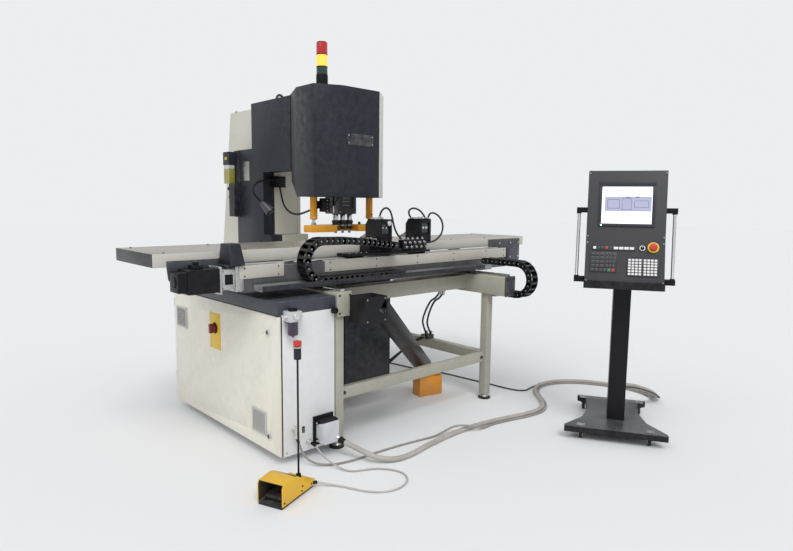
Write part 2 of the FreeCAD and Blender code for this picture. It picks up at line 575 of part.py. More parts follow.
def stripper():
    plate_low = "cylinder_low - strip_plate_thick"
    arms = span(("axis_x - strip_reach - 36", "axis_x + strip_reach + 36"), ("axis_y - 40", "axis_y + 40"),
                (plate_low, "cylinder_low"))
    yoke = span(("axis_x - cylinder_wide/2", "axis_x + cylinder_wide/2"),
                ("axis_y + 30", "upper_front - 2"),
                (plate_low, "cylinder_low"))
    valve = span(("711", "759"), ("axis_y - 65", "axis_y - 15"), ("1309", "1398"))
    valve_arm = span(("axis_x - strip_reach", "725"), ("axis_y - 22", "axis_y - 8"), ("1330", "1380"))
    hole = rod("axis_x", "axis_y", f"{plate_low} - 5", "plunger + 8", "strip_plate_thick + 10")
    cylinders = [rod(f"axis_x + ({side})*strip_reach", "axis_y", "strip_cyl_low", "strip_cyl",
                     f"{plate_low} - strip_cyl_low + 5") for side in (-1, 1)]
    bores = [rod(f"axis_x + ({side})*strip_reach", "axis_y", "strip_cyl_low - 5", "strip_rod + strip_fit",
                 "145")
             for side in (-1, 1)]
    node("stripper_cylinders", cut(fuse(arms, yoke, *cylinders, valve, valve_arm), hole, *bores))
    end = "strip_reach + strip_end"
    bar = profile("XY", [
        (f"axis_x - ({end}) + 22", "axis_y - 42"), ("axis_x - strip_reach + 10", "axis_y - 52"),
        ("axis_x - strip_notch_half - 22", "strip_front"),
        ("axis_x - strip_notch_half", "strip_front + 10"),
        ("axis_x - strip_notch_half", "strip_notch_back"),
        ("axis_x + strip_notch_half", "strip_notch_back"),
        ("axis_x + strip_notch_half", "strip_front + 10"),
        ("axis_x + strip_notch_half + 22", "strip_front"),
        ("axis_x + strip_reach - 10", "axis_y - 52"), (f"axis_x + ({end}) - 22", "axis_y - 42"),
        (f"axis_x + {end}", "axis_y - 12"), (f"axis_x + {end}", "axis_y + 20"),
        (f"axis_x + ({end}) - 22", "axis_y + 46"), ("axis_x + strip_notch_half + 30", "strip_back"),
        ("axis_x - strip_notch_half - 30", "strip_back"), (f"axis_x - ({end}) + 22", "axis_y + 46"),
        (f"axis_x - ({end})", "axis_y + 20"), (f"axis_x - ({end})", "axis_y - 12")],
        "strip_low", "strip_top - strip_low")
    rods = [rod(f"axis_x + ({side})*strip_reach", "axis_y", "strip_top - 5", "strip_rod",
                "strip_cyl_low - strip_top + 65") for side in (-1, 1)]
    knob = rod("axis_x + 150", "axis_y + 5", "strip_top - 2", "9", "20")
    node("stripper_bar", fuse(bar, *rods, knob))


def head_fittings():
    node("signal_tower", group(
        rod("tower_x", "tower_y", "head_top", "tower_base", "tower_base_top - head_top"),
        rod("tower_x", "tower_y", "tower_base_top", "tower_lens", "tower_green_top - tower_base_top"),
        rod("tower_x", "tower_y", "tower_green_top", "tower_lens", "tower_amber_top - tower_green_top"),
        fuse(rod("tower_x", "tower_y", "tower_amber_top", "tower_lens",
                 "tower_red_top - tower_amber_top - 6"),
             rod("tower_x", "tower_y", "tower_red_top - 8", "tower_lens - 4", "8"))))
    cover = "axis_x - cover_half"
    node("lubricator", group(
        fuse(span((f"{cover} - 4", cover), ("1696", "1782"), ("1250", "1760")),
             span((f"{cover} - 58", f"{cover} - 3"), ("1761", "1855"), ("1652", "1752"))),
        span((f"{cover} - 55", f"{cover} - 7"), ("1766", "1850"), ("1508", "1652")),
        fuse(span((f"{cover} - 49", f"{cover} - 4"), ("1700", "1786"), ("1254", "1508")),
             rod(f"{cover} - 26", "1784", "1470", "13", "34", "y"))))
    face = "throat_back"
    lamp_x = "axis_x - 72"
    neck = feature("Neck", tube("work_lamp_neck", [
        (836, 1318, 1524), (770, 1308, 1530), (700, 1300, 1525), (632, 1292, 1509), (590, 1284, 1470),
        (592, 1266, 1420), (620, 1248, 1383), (655, 1218, 1340)], SIZES["lamp_neck"]))
    box_base = span((f"{lamp_x} - lamp_box/2", f"{lamp_x} + lamp_box/2"), (f"{face} - lamp_deep", face),
                    ("lamp_z - lamp_box/2", "lamp_z + lamp_box/2"))
    lean = Rotation(Vector(0, 0, 1), Vector(-0.43, 0.52, 0.74))
    shade = place(taper("0", "0", "0", "37", "21", "88"), "680", "1188", "1296", lean)
    node("work_lamp", fuse(box_base, neck, shade))


# Moving table, beam and carriage

def table():
    middle_left = "axis_x - slot_half"
    middle_right = "axis_x + slot_half"
    slab = span(("table_left", "table_right"), ("table_front", "table_back"), ("table_low", "table_top"))
    slot = span((middle_left, middle_right), ("slot_start", "table_back + 5"),
                ("table_low - 5", "table_top + 5"))
    hollows = [span((f"{left} + table_rim", f"{right} - table_rim"),
                    ("table_front + table_rim", "table_back - table_rim"),
                    ("table_low - 5", "table_top - table_skin"))
               for left, right in (("table_left", middle_left), (middle_right, "table_right"))]
    node("table", cut(slab, slot, *hollows))
    right_bracket = profile("XZ", [
        ("beam_right - 60", "beam_low + 60"), ("beam_right", "beam_low + 60"),
        ("beam_right + 30", "table_low - 40"),
        ("table_right - 213", "table_low - 40"), ("table_right - 213", "beam_low + 13"),
        ("table_right - 57", "beam_low + 13"), ("table_right - 57", "table_top - 13"),
        ("beam_right - 60", "table_top - 13")], "beam_back", "table_front - beam_back")
    left_bracket = profile("XZ", [
        ("table_left + 66", "table_low - 4"), ("table_left + 72", "table_low - 60"),
        ("table_left + 92", "table_low - 92"),
        ("table_left + 132", "table_low - 92"), ("table_left + 132", "table_low + 30"),
        ("table_left + 66", "table_low + 30")], "beam_back", "table_front - beam_back")
    link = span(("table_left + 120", "beam_left + 60"), ("beam_back", "table_front"),
                ("table_low - 44", "table_low + 30"))
    supports = [right_bracket, fuse(left_bracket, link)]
    for left in ("rail_left", "rail_right"):
        middle = f"{left} + rail_wide/2"
        saddle = span((f"{middle} - 45", f"{middle} + 45"), ("beam_back", "table_back - 60"),
                      ("beam_low", "beam_low + 25"))
        posts = [span((f"{middle} - 40", f"{middle} + 40"), (f"{y} - 25", f"{y} + 25"),
                      ("beam_low + 20", "table_top - table_skin"))
                 for y in ("table_front + 60", "table_back - 100")]
        blocks = []
        for y in ("beam_front + 5", "table_back - 170"):
            block = span((f"{middle} - 35", f"{middle} + 35"), (y, f"{y} + 100"),
                         ("rail_top + 4", "beam_low"))
            groove = span((f"{middle} - guide_wide/2 - 0.3", f"{middle} + guide_wide/2 + 0.3"),
                          (f"{y} - 5", f"{y} + 105"),
                          ("rail_top", "rail_top + guide_tall + 0.3"))
            blocks.append(cut(block, groove))
        supports += [fuse(saddle, *posts), *blocks]
    node("table_supports", group(*supports))


def beam():
    outer = span(("beam_left", "beam_right"), ("beam_front", "beam_back"), ("beam_low", "beam_top"))
    inner = span(("beam_left - 5", "beam_right + 5"), ("beam_front + beam_wall", "beam_back - beam_wall"),
                 ("beam_low + beam_wall", "beam_top - beam_wall"))
    guide = span(("beam_left + 30", "beam_right - 30"), ("beam_guide_front", "beam_guide_back"),
                 ("beam_top", "beam_guide_top"))
    node("x_beam", group(cut(outer, inner), guide))
    sheets = []
    for left, lip_left, right in (("beam_left - 30", "beam_left", "gap_left"),
                                  ("gap_right", "gap_right", "beam_right - 2")):
        front = span((left, right), ("sheet_front", "beam_front"), ("sheet_low", "sheet_top"))
        lip = span((lip_left, right), ("sheet_front", "sheet_lip"), ("beam_top", "sheet_top"))
        sheets.append(fuse(front, lip))
    end = span(("beam_right", "beam_right + 38"), ("sheet_front", "beam_back"),
               ("beam_low + 4", "sheet_top"))
    node("beam_covers", group(*sheets, end))
    trough = span(("tray_left", "tray_right"), ("tray_front", "tray_back"), ("tray_low", "tray_lip"))
    room = span(("tray_left - 5", "tray_right + 5"), ("tray_front + tray_wall", "tray_back - tray_wall"),
                ("tray_low + tray_wall", "tray_lip + 5"))
    lugs = [span((x, f"{x} + 40"), ("tray_back - 1", "beam_front"), ("tray_low + 5", "tray_lip - 6"))
            for x in ("tray_left + 60", "tray_left + 600", "tray_left + 1200", "tray_right - 120")]
    chain_right = "rail_right + rail_wide + y_chain_gap + y_chain_wide"
    arm = span(("tray_right - 30", chain_right), ("tray_back - 60", "tray_back"),
               ("tray_low - 8", "tray_low"))
    riser = span(("tray_right + 6", chain_right), ("tray_back - 60", "tray_back - 52"),
                 ("tray_low - 8", "y_chain_low + 2*y_chain_turn - chain_tall/2"))
    node("cable_tray", fuse(cut(trough, room), *lugs, arm, riser))
    motor = fuse(
        span(("motor_left + 44", "motor_right"), ("drive_y - motor_half", "drive_y + motor_half"),
             ("drive_z - motor_half", "drive_z + motor_half")),
        span(("motor_left", "motor_left + 50"), ("drive_y - motor_half + 10", "drive_y + motor_half - 10"),
             ("drive_z - motor_half + 10", "drive_z + motor_half - 10")))
    flange = span(("motor_right", "flange_right"), ("drive_y - motor_half", "drive_y + motor_half"),
                  ("beam_low + 3", "hood_low - 1"))
    housing = span(("flange_right", "bearing_left"), ("drive_y - housing_half", "drive_y + housing_half"),
                   ("drive_z - housing_half", "drive_z + housing_half"))
    bearing = span(("bearing_left", "beam_left"),
                   ("drive_y - motor_half + 10", "drive_y + motor_half - 10"),
                   ("beam_low + 9", "hood_low - 3"))
    hood = fuse(
        tapering((("-175", "150"), ("-95", "285")), "hood_low", (("-168", "185"), ("-101", "273")),
                 "hood_top"),
        span(("flange_right + 30", "bearing_left"), ("drive_y - 50", "drive_y + 50"),
             ("drive_z + housing_half", "hood_low")))
    node("x_drive", group(motor, flange, housing, bearing, hood))


def carriage():
    lower = span(("plate_left", "plate_right"), ("plate_front", "plate_back"),
                 ("plate_low", "carriage_top"))
    upper = span(("deck_left", "deck_right"), ("deck_front", "deck_back"), ("carriage_top", "deck_top"))
    chain_arm = span(("850", "930"), ("x_chain_front + 5", "deck_front + 10"),
                     ("deck_top - 27", "deck_top - 13"))
    shoes = []
    for x in ("plate_left + 20", "plate_right - 140"):
        shoe = span((x, f"{x} + 120"), ("beam_guide_front - 20", "beam_guide_back + 20"),
                    ("beam_top + 3", "plate_low"))
        groove = span((f"{x} - 5", f"{x} + 125"), ("beam_guide_front - 0.3", "beam_guide_back + 0.3"),
                      ("beam_top", "beam_guide_top + 0.3"))
        shoes.append(cut(shoe, groove))
    base = fuse(lower, upper, chain_arm, *shoes)
    grippers = []
    jaws = []
    for middle in ("grip_one", "grip_two"):
        body = profile("YZ", [
            ("grip_front", "deck_top"), ("deck_back", "deck_top"), ("deck_back", "jaw_low"),
            ("grip_back", "jaw_low"), ("grip_back", "grip_top - 34"),
            ("grip_back - 26", "grip_top"), ("grip_front", "grip_top")], f"{middle} - grip_wide/2",
            "grip_wide")
        well = span((f"{middle} - jaw_stem - jaw_slide", f"{middle} + jaw_stem + jaw_slide"),
                    ("grip_back - 30", "grip_back + 5"), ("jaw_gap_low", "jaw_gap_low + jaw_open + 62"))
        recess = span((f"{middle} - grip_wide/2 + 18", f"{middle} + grip_wide/2 - 18"),
                      ("grip_front - 5", "grip_front + 8"),
                      ("deck_top + 60", "grip_top - 24"))
        lower_jaw = span((f"{middle} - jaw_wide/2", f"{middle} + jaw_wide/2"),
                         ("grip_back - 2", "jaw_reach"),
                         ("jaw_low", "jaw_gap_low"))
        piston = rod(middle, "grip_back - 48", "grip_top - 3", "26", "12")
        grippers.append(fuse(cut(body, well, recess), lower_jaw, piston))
        stem = span((f"{middle} - jaw_stem", f"{middle} + jaw_stem"),
                    ("grip_back - 30 + jaw_slide", "grip_back + 8"),
                    ("jaw_gap_low + jaw_open", "jaw_gap_low + jaw_open + 58"))
        nose = profile("YZ", [
            ("grip_back + 3", "jaw_gap_low + jaw_open"), ("jaw_reach - 2", "jaw_gap_low + jaw_open"),
            ("jaw_reach - 2", "jaw_gap_low + jaw_open + 8"),
            ("jaw_reach - 40", "jaw_gap_low + jaw_open + jaw_thick"),
            ("grip_back + 3", "jaw_gap_low + jaw_open + 52")], f"{middle} - jaw_wide/2 + 4", "jaw_wide - 8")
        jaws.append(fuse(stem, nose))
    node("grippers", group(*grippers))
    node("gripper_jaws", group(*jaws))
    valves = [span((f"grip_one + {x}", f"grip_one + {x} + 39"), ("deck_front - 42", "deck_front"),
                   ("deck_top - 30", "deck_top + 30")) for x in (100, 143, 186, 229, 272)]
    block = span(("deck_left + 4", "deck_left + 62"), ("deck_front + 4", "deck_back - 8"),
                 ("deck_top", "deck_top + 44"))
    dial = rod("grip_one + 20", "grip_front - 14", "1245", "16", "14", "y")
    node("carriage", group(base, *valves, block, dial))


# Energy chains

def chains():
    s = SIZES
    top = s["x_chain_low"] + 2 * s["x_chain_turn"] + 3
    y = s["x_chain_front"] + s["x_chain_wide"] / 2
    left = s["x_chain_left"]
    route = [Vector(940, y, s["x_chain_low"]), Vector(left, y, s["x_chain_low"]), Vector(left, y, top),
             Vector(520, y, top - 4), Vector(870, y, 1118)]
    strap = chain_strap(route, [s["x_chain_turn"], s["x_chain_turn"], 1500], Vector(0, 1, 0),
                        s["x_chain_wide"], s["chain_tall"])
    node("x_chain", feature("XChain", strap))
    x = s["rail_right"] + s["rail_wide"] + s["y_chain_gap"] + s["y_chain_wide"] / 2
    low = s["y_chain_low"]
    high = low + 2 * s["y_chain_turn"]
    route = [Vector(x, 60, low), Vector(x, s["y_chain_front"], low), Vector(x, s["y_chain_front"], high),
             Vector(x, 105, high)]
    strap = chain_strap(route, [s["y_chain_turn"] - 0.5] * 2, Vector(1, 0, 0), s["y_chain_wide"],
                        s["chain_tall"])
    node("y_chain", feature("YChain", strap))


# Scrap chute and bin

def scrap():
    wall = "chute_wall"
    right = "chute_box_left + chute_box_wide"
    back = "chute_box_front + chute_box_deep"
    outer = span(("chute_box_left", right), ("chute_box_front", back), ("chute_box_low", "chute_box_top"))
    inner = span((f"chute_box_left + {wall}", f"{right} - {wall}"),
                 (f"chute_box_front + {wall}", f"{back} - {wall}"),
                 (f"chute_box_low + {wall}", "chute_box_top + 5"))
    start = Vector(575, -113, 800)
    end = Vector(1440, 362, 190)
    along = end - start
    heading = math.degrees(math.atan2(along.y, along.x))
    dip = math.degrees(math.asin(-along.z / along.Length))
    turn = Rotation(Vector(0, 0, 1), heading) * Rotation(Vector(0, 1, 0), dip)
    wide = SIZES["chute_wide"]
    tall = SIZES["chute_tall"]

    def slanted(inset, begin, length, height):
        corner = start + turn.multVec(Vector(begin, -wide / 2 + inset, -tall / 2 + inset))
        return box(corner.x, corner.y, corner.z, length, f"chute_wide - 2*{inset}", height, turn=turn)
    inset = SIZES["chute_wall"]
    # the trough is cut upright at its lower end, and square with the box at its upper end
    overrun = cut(slanted(0, 0, along.Length + 60, "chute_tall"),
                  span(("1440", "1640"), ("100", "600"), ("0", "600")),
                  span(("300", "800"), ("chute_box_front - 200", "chute_box_front"), ("600", "1000")),
                  span(("300", "chute_box_left + 20"), ("-400", "100"), ("600", "1000")))
    throat = slanted(inset, -30, along.Length + 120, f"chute_tall - 2*{inset}")
    open_top = slanted(inset, 120, along.Length + 120, "chute_tall")
    node("scrap_chute", cut(fuse(outer, overrun), inner, throat, open_top))
    tub = box("-bin_long/2", "-bin_deep/2", "0", "bin_long", "bin_deep", "bin_tall", frame=LOCAL)
    room = box("-bin_long/2 + bin_wall", "-bin_deep/2 + bin_wall", "bin_wall", "bin_long - 2*bin_wall",
               "bin_deep - 2*bin_wall", "bin_tall", frame=LOCAL)
    node("scrap_bin", seat([cut(tub, room)], "bin_x", "bin_y", SIZES["bin_turn"]))


# Console, built about its own origin: X runs along its width, Y away from the operator

def console():
    turn = SIZES["console_turn"]

    def stand(*pieces):
        return seat(pieces, "console_x", "console_y", turn)
    plate = profile("XY", [
        ("-base_front_half", "-base_front"), ("base_front_half", "-base_front"),
        ("base_front_half", "-base_front + 30"),
        ("base_waist_half + 35", "-base_front + 190"), ("base_waist_half", "-base_front + 360"),
        ("base_waist_half + 12", "-base_back - 70"), ("base_back_half", "-base_back - 28"),
        ("base_back_half", "-base_back"),
        ("-base_back_half", "-base_back"), ("-base_back_half", "-base_back - 28"),
        ("-base_waist_half - 12", "-base_back - 70"), ("-base_waist_half", "-base_front + 360"),
        ("-base_waist_half - 35", "-base_front + 190"), ("-base_front_half", "-base_front + 30")],
        "base_low", "base_top - base_low", frame=LOCAL)
    post = span(("-post_wide/2 + 10", "post_wide/2 + 10"), ("-post_front", "-post_front + post_deep"),
                ("base_top", "post_top"), frame=LOCAL)
    post_room = span(("-post_wide/2 + 10 + post_wall", "post_wide/2 + 10 - post_wall"),
                     ("-post_front + post_wall", "-post_front + post_deep - post_wall"),
                     ("base_top - 5", "post_top + 5"), frame=LOCAL)
    shelf = span(("-70", "90"), ("-post_front - 40", "-post_front + post_deep + 20"),
                 ("post_top", "console_low"), frame=LOCAL)
    tray = span(("-console_half - tray_over", "console_half + tray_over"),
                ("-lip_front - 4", "-lip_front + 100"), ("console_low - 26", "console_low"), frame=LOCAL)
    tray_lip = span(("-console_half - tray_over", "console_half + tray_over"),
                    ("-lip_front - 4", "-lip_front"), ("console_low - 26", "console_low + 18"), frame=LOCAL)
    forks = []
    wheels = []
    for i, (x, y) in enumerate((("-caster_side", "-base_front + 48"), ("caster_side", "-base_front + 48"),
                                ("-base_back_half + 40", "-base_back - 40"),
                                ("base_back_half - 40", "-base_back - 40"))):
        cheeks = [box(f"{x} + ({side})*(caster_wide/2 + 2) - 1.5", f"{y} - 8", "caster_wheel - 7", "3",
                      "16",
                      "base_low - caster_wheel + 7", frame=LOCAL) for side in (-1, 1)]
        bridge = box(f"{x} - caster_wide/2 - 3.5", f"{y} - 8", "base_low - 2.5", "caster_wide + 7", "16",
                     "2.5", frame=LOCAL)
        axle = rod(f"{x} - caster_wide/2 - 3.5", y, "caster_wheel", "caster_axle", "caster_wide + 7", "x",
                   frame=LOCAL)
        forks.append(fuse(*cheeks, bridge, axle))
        tread = rod(f"{x} - caster_wide/2", y, "caster_wheel", "caster_wheel", "caster_wide", "x",
                    frame=LOCAL)
        bore = rod(f"{x} - caster_wide/2 - 1", y, "caster_wheel", "caster_axle + caster_fit",
                   "caster_wide + 2", "x", frame=LOCAL)
        wheels.append(node(f"caster_wheel_{i + 1}", stand(cut(tread, bore))))
    node("console_stand", stand(fuse(plate, cut(post, post_room), shelf, tray, tray_lip), *forks))

    section = [("-lip_front", "console_low"), ("-sole_back", "console_low"), ("-crown_back", "console_top"),
               ("-crown_front", "console_top"), ("-fold_front", "console_fold")]
    case = profile("YZ", section, "-console_half", "2*console_half", frame=LOCAL)

    lean_up = math.degrees(math.atan2(SIZES["fold_front"] - SIZES["crown_front"],
                                      SIZES["console_top"] - SIZES["console_fold"]))
    lean_low = math.degrees(math.atan2(SIZES["lip_front"] - SIZES["fold_front"],
                                       SIZES["console_fold"] - SIZES["console_low"]))

    # pieces on the two front faces are built flat, with Z up the face, and tilted about the fold
    def on_face(piece, lean):
        return place(piece, "0", "-fold_front", "console_fold", Rotation(Vector(1, 0, 0), -lean),
                     frame=LOCAL)
    screen = cut(box("-150", "-5", "78", "300", "5", "258", frame=LOCAL),
                 box("-134", "-6", "94", "268", "4", "212", frame=LOCAL))
    keys = [box(x, "-4", z, wide, "4", tall, frame=LOCAL) for x, z, wide, tall in
            (("-186", "-190", "144", "120"), ("12", "-207", "166", "106"), ("-178", "-62", "238", "28"))]
    handles = []
    for side in (-1, 1):
        x = f"({side})*(console_half + handle_reach)"
        low_at = "-console_half - handle_reach - 14" if side < 0 else "console_half"
        brackets = [box(low_at, y, z, "handle_reach + 14", "46", "30", frame=LOCAL)
                    for y, z in (("-52", "handle_low"), ("10", "handle_top - 30"))]
        low = Vector(side * (SIZES["console_half"] + SIZES["handle_reach"]), -34, SIZES["handle_low"] + 4)
        high = Vector(low.x, 28, SIZES["handle_top"] - 4)
        bar = doc.addObject("Part::Cylinder", "HandleRod")
        bar.setExpression("Radius", bind("handle_rod"))
        bar.Height = (high - low).Length
        bar.Placement = Placement(low, Rotation(Vector(0, 0, 1), high - low))
        handles.append(fuse(bar, *brackets))
    node("console_case", stand(case, *handles))

    collar = cut(rod("148", "-8", "-39", "22", "8", "y", frame=LOCAL),
                 rod("148", "-10", "-39", "stop_neck + stop_fit", "12", "y", frame=LOCAL))
    ring_selector = cut(rod("91", "-6", "-44", "13", "6", "y", frame=LOCAL),
                        rod("91", "-8", "-44", "5.05", "10", "y", frame=LOCAL))
    node("console_panels",
         stand(on_face(screen, lean_up), on_face(group(*keys, collar, ring_selector), lean_low)))
    head_stop = fuse(rod("148", "-30", "-39", "stop_head", "14", "y", frame=LOCAL),
                     rod("148", "-18", "-39", "stop_neck", "12.5", "y", frame=LOCAL))
    node("console_stop", stand(on_face(head_stop, lean_low)))
    knob = fuse(rod("91", "-14", "-44", "10", "7.5", "y", frame=LOCAL),
                box("88", "-22", "-53", "6", "10", "18", frame=LOCAL),
                rod("91", "-8", "-44", "5", "7.5", "y", frame=LOCAL))
    node("console_selector", stand(on_face(knob, lean_low)))


# Foot switch, built about the middle of its front edge: X runs from the open front to the rear

def foot_switch():
    turn = SIZES["pedal_turn"]

    def stand(*pieces):
        return seat(pieces, "pedal_x", "pedal_y", turn)
    sole = box("0", "-hood_half + 6", "0", "hood_long - 10", "2*hood_half - 12", "sole_thick", frame=LOCAL)
    side = [("0", "sole_thick"), ("hood_long", "sole_thick"), ("hood_long", "hood_rear - 8"),
            ("hood_long - 12", "hood_rear"),
            ("hood_long - 70", "hood_rear + 4"), ("hood_flat + 26", "hood_tall - 8"),
            ("hood_flat", "hood_tall"), ("8", "hood_tall - 6"),
            ("0", "hood_tall - 20")]
    room = [("-5", "sole_thick - 5"), ("hood_long - 76", "sole_thick - 5"),
            ("hood_long - 76", "hood_rear - 6"),
            ("hood_flat + 20", "hood_tall - 8 - hood_skin"), ("hood_flat - 2", "hood_tall - hood_skin"),
            ("-5", "hood_tall - hood_skin - 4")]
    hood = place(profile_local("XZ", side, "2*hood_half"), "0", "-hood_half", "0", frame=LOCAL)
    hollow = place(profile_local("XZ", room, "2*hood_half - 2*hood_skin"), "0", "-hood_half + hood_skin",
                   "0", frame=LOCAL)
    socket = rod("pole_at", "0", "sole_thick", "12", "hood_rear + 6", frame=LOCAL)
    gland = place(rod("0", "0", "0", "8", "40"), "240", "-50", "24",
                  Rotation(Vector(0, 0, 1), Vector(0.5, -0.866, 0)),
                  frame=LOCAL)
    shell = cut(fuse(hood, socket, gland), hollow, hinge_hole())
    node("foot_switch", stand(shell, sole))
    tread = profile_local("XZ", [
        ("24", "34"), ("pedal_long", "56"), ("pedal_long + 14", "50"), ("pedal_long + 14", "42"),
        ("pedal_long", "42"),
        ("26", "24")], "pedal_wide")
    tread = place(tread, "0", "-pedal_wide/2", "0", frame=LOCAL)
    pin = rod("pedal_long + 7", "-hood_half + hood_skin + 1", "46", "4", "2*hood_half - 2*hood_skin - 2",
              "y", frame=LOCAL)
    ends = rod("pedal_long + 7", "-hood_half + 1", "46", "3", "2*hood_half - 2", "y", frame=LOCAL)
    node("foot_pedal", stand(fuse(tread, pin, ends)))
    pole = rod("pole_at", "0", "sole_thick + hood_rear + 6", "pole_radius",
               "pole_top - sole_thick - hood_rear - 6", frame=LOCAL)
    holder = rod("pole_at", "0", "pole_top", "holder_radius", "holder_top - pole_top", frame=LOCAL)
    disc = rod("pole_at", "0", "holder_top", "holder_radius + 4", "4", frame=LOCAL)
    bore = rod("pole_at", "0", "holder_top - 20", "stop_neck + stop_fit", "30", frame=LOCAL)
    node("stop_pole", stand(cut(fuse(pole, holder, disc), bore)))
    node("pole_stop", stand(fuse(
        rod("pole_at", "0", "holder_top + 4 + stop_travel + 1", "stop_head", "22", frame=LOCAL),
        rod("pole_at", "0", "holder_top - 12", "stop_neck", "30", frame=LOCAL))))


def profile_local(plane, points, length):
    return profile(plane, points, "0", length, frame=LOCAL)


def hinge_hole():
    return rod("pedal_long + 7", "-hood_half - 5", "46", "3.05", "2*hood_half + 10", "y", frame=LOCAL)


# Cords and hoses: each route is straight runs joined by tangent arcs

FOOT_SWITCH_LEAD = [
    (176, -30, 95), (180, -71, 83), (185, -106, 58), (191, -145, 39), (199, -186, 27),
    (213, -225, 15), (230, -264, 6), (258, -295, 5), (299, -311, 5), (338, -329, 5), (374, -353, 5),
    (401, -388, 5), (421, -426, 5), (431, -468, 5), (419, -510, 5), (393, -544, 5), (356, -568, 5),
    (314, -580, 5), (271, -578, 5), (230, -564, 5), (195, -539, 5), (167, -505, 5), (146, -467, 5),
    (126, -428, 5), (112, -387, 5), (87, -352, 6), (55, -323, 14), (21, -299, 24)]
CONTROL_CONDUIT = [
    (324, -85, 92), (355, -187, 67), (398, -290, 36), (490, -345, 14), (610, -353, 14),
    (726, -327, 14), (874, -309, 14), (1022, -298, 14), (1171, -300, 14), (1318, -322, 14),
    (1464, -352, 14), (1607, -391, 14), (1755, -405, 14), (1884, -342, 14), (1983, -231, 14),
    (2086, -124, 14), (2224, -72, 14), (2369, -97, 14), (2494, -176, 14), (2584, -294, 14),
    (2642, -431, 14), (2685, -572, 14), (2659, -717, 14), (2569, -829, 27), (2442, -845, 97),
    (2306, -821, 152), (2164, -811, 194), (2019, -818, 226), (1879, -860, 240)]
SUPPLY_CONDUIT = [
    (85, -30, 150), (98, -54, 51), (160, -123, 6), (255, -174, 6), (360, -192, 6), (467, -191, 6),
    (574, -198, 6), (680, -209, 6), (787, -225, 6), (897, -246, 6), (970, -256, 22),
    (1040, -276, 46), (1100, -322, 46), (1165, -347, 22), (1236, -354, 6), (1314, -347, 6),
    (1458, -376, 6), (1603, -416, 6), (1759, -430, 6), (1899, -362, 6), (2001, -248, 6),
    (2100, -145, 6), (2226, -97, 6), (2360, -120, 6), (2477, -194, 6), (2562, -307, 6),
    (2619, -440, 6), (2660, -573, 6), (2636, -707, 6), (2556, -807, 19), (2443, -820, 89),
    (2309, -796, 144), (2164, -786, 186), (2012, -794, 218), (1866, -838, 232)]
REAR_CABLE = [
    (1072, 1450, 60), (1140, 1450, 45), (1255, 1450, 15), (1383, 1444, 5), (1509, 1418, 5), (1625, 1365, 5),
    (1727, 1287, 5), (1803, 1185, 5), (1823, 1058, 5), (1838, 931, 5), (1873, 807, 5),
    (1916, 686, 5), (1940, 560, 5), (1948, 432, 5), (1966, 304, 5), (1979, 176, 5), (1985, 52, 5),
    (2004, -34, 5), (2048, -80, 5), (2126, -64, 5), (2252, -50, 5), (2378, -75, 5), (2510, -158, 5),
    (2605, -282, 5), (2665, -423, 5), (2709, -571, 5), (2681, -727, 5), (2581, -850, 18),
    (2441, -869, 88), (2303, -845, 143), (2164, -835, 185), (2023, -842, 217), (1891, -881, 231)]
PRESSURE_HOSE = [
    (1450, 250, 756), (1467, 298, 710), (1491, 366, 684), (1515, 421, 637), (1540, 471, 584),
    (1567, 519, 531), (1603, 563, 479), (1650, 594, 428), (1690, 606, 367)]
RETURN_HOSE = [
    (1450, 216, 756), (1468, 266, 711), (1494, 334, 685), (1519, 388, 634), (1546, 437, 579),
    (1577, 483, 525), (1615, 527, 472), (1666, 560, 424), (1712, 578, 367)]
LOW_PRESSURE_HOSE = [
    (1655, 590, 350), (1569, 593, 332), (1485, 599, 302), (1404, 610, 262), (1331, 632, 212),
    (1260, 670, 162), (1190, 740, 122), (1110, 811, 110), (1042, 872, 110)]
LOW_RETURN_HOSE = [
    (1655, 616, 350), (1569, 619, 327), (1490, 625, 285), (1414, 636, 237), (1340, 654, 182),
    (1266, 692, 132), (1190, 770, 96), (1110, 852, 86), (1042, 925, 86)]
VALVE_HOSE = [
    (846, 1330, 1477), (837, 1302, 1430), (812, 1242, 1375), (785, 1160, 1325), (764, 1060, 1294),
    (745, 955, 1284), (729, 855, 1296), (726, 750, 1322), (735, 640, 1345)]
FIRST_GRIPPER_HOSE = [
    (925, 290, 1279), (929, 286, 1316), (962, 272, 1346), (990, 258, 1322), (992, 242, 1270),
    (990, 222, 1218), (992, 196, 1172), (1012, 171, 1140)]
SECOND_GRIPPER_HOSE = [
    (1216, 300, 1270), (1196, 303, 1292), (1190, 300, 1326), (1222, 286, 1342), (1258, 266, 1326),
    (1276, 248, 1298), (1284, 235, 1270)]
THIRD_GRIPPER_HOSE = [
    (1286, 216, 1270), (1294, 215, 1302), (1336, 214, 1312), (1394, 213, 1286), (1430, 212, 1238),
    (1424, 208, 1184), (1384, 200, 1146), (1326, 186, 1124), (1268, 176, 1116), (1210, 171, 1114)]


def cords():
    for name, route, diameter in (("foot_switch_lead", FOOT_SWITCH_LEAD, 9),
                                  ("control_conduit", CONTROL_CONDUIT, 28),
                                  ("supply_conduit", SUPPLY_CONDUIT, 12), ("rear_cable", REAR_CABLE, 10),
                                  ("valve_hose", VALVE_HOSE, 14)):
        node(name, feature(name, tube(name, route, diameter)))
    node("hydraulic_hoses", group(*[feature("Hose", tube("hose", route, 14)) for route in (
        PRESSURE_HOSE, RETURN_HOSE, LOW_PRESSURE_HOSE, LOW_RETURN_HOSE)]))
    node("gripper_hoses", group(*[feature("Hose", tube("gripper_hose", route, 12)) for route in (
        FIRST_GRIPPER_HOSE, SECOND_GRIPPER_HOSE, THIRD_GRIPPER_HOSE)]))


stand_feet = cabinet()
cabinet_fittings()
base_frame(stand_feet)
c_frame()
head()
stripper()
head_fittings()
table()
beam()
carriage()
chains()
scrap()
console()
foot_switch()
cords()
doc.recompute()

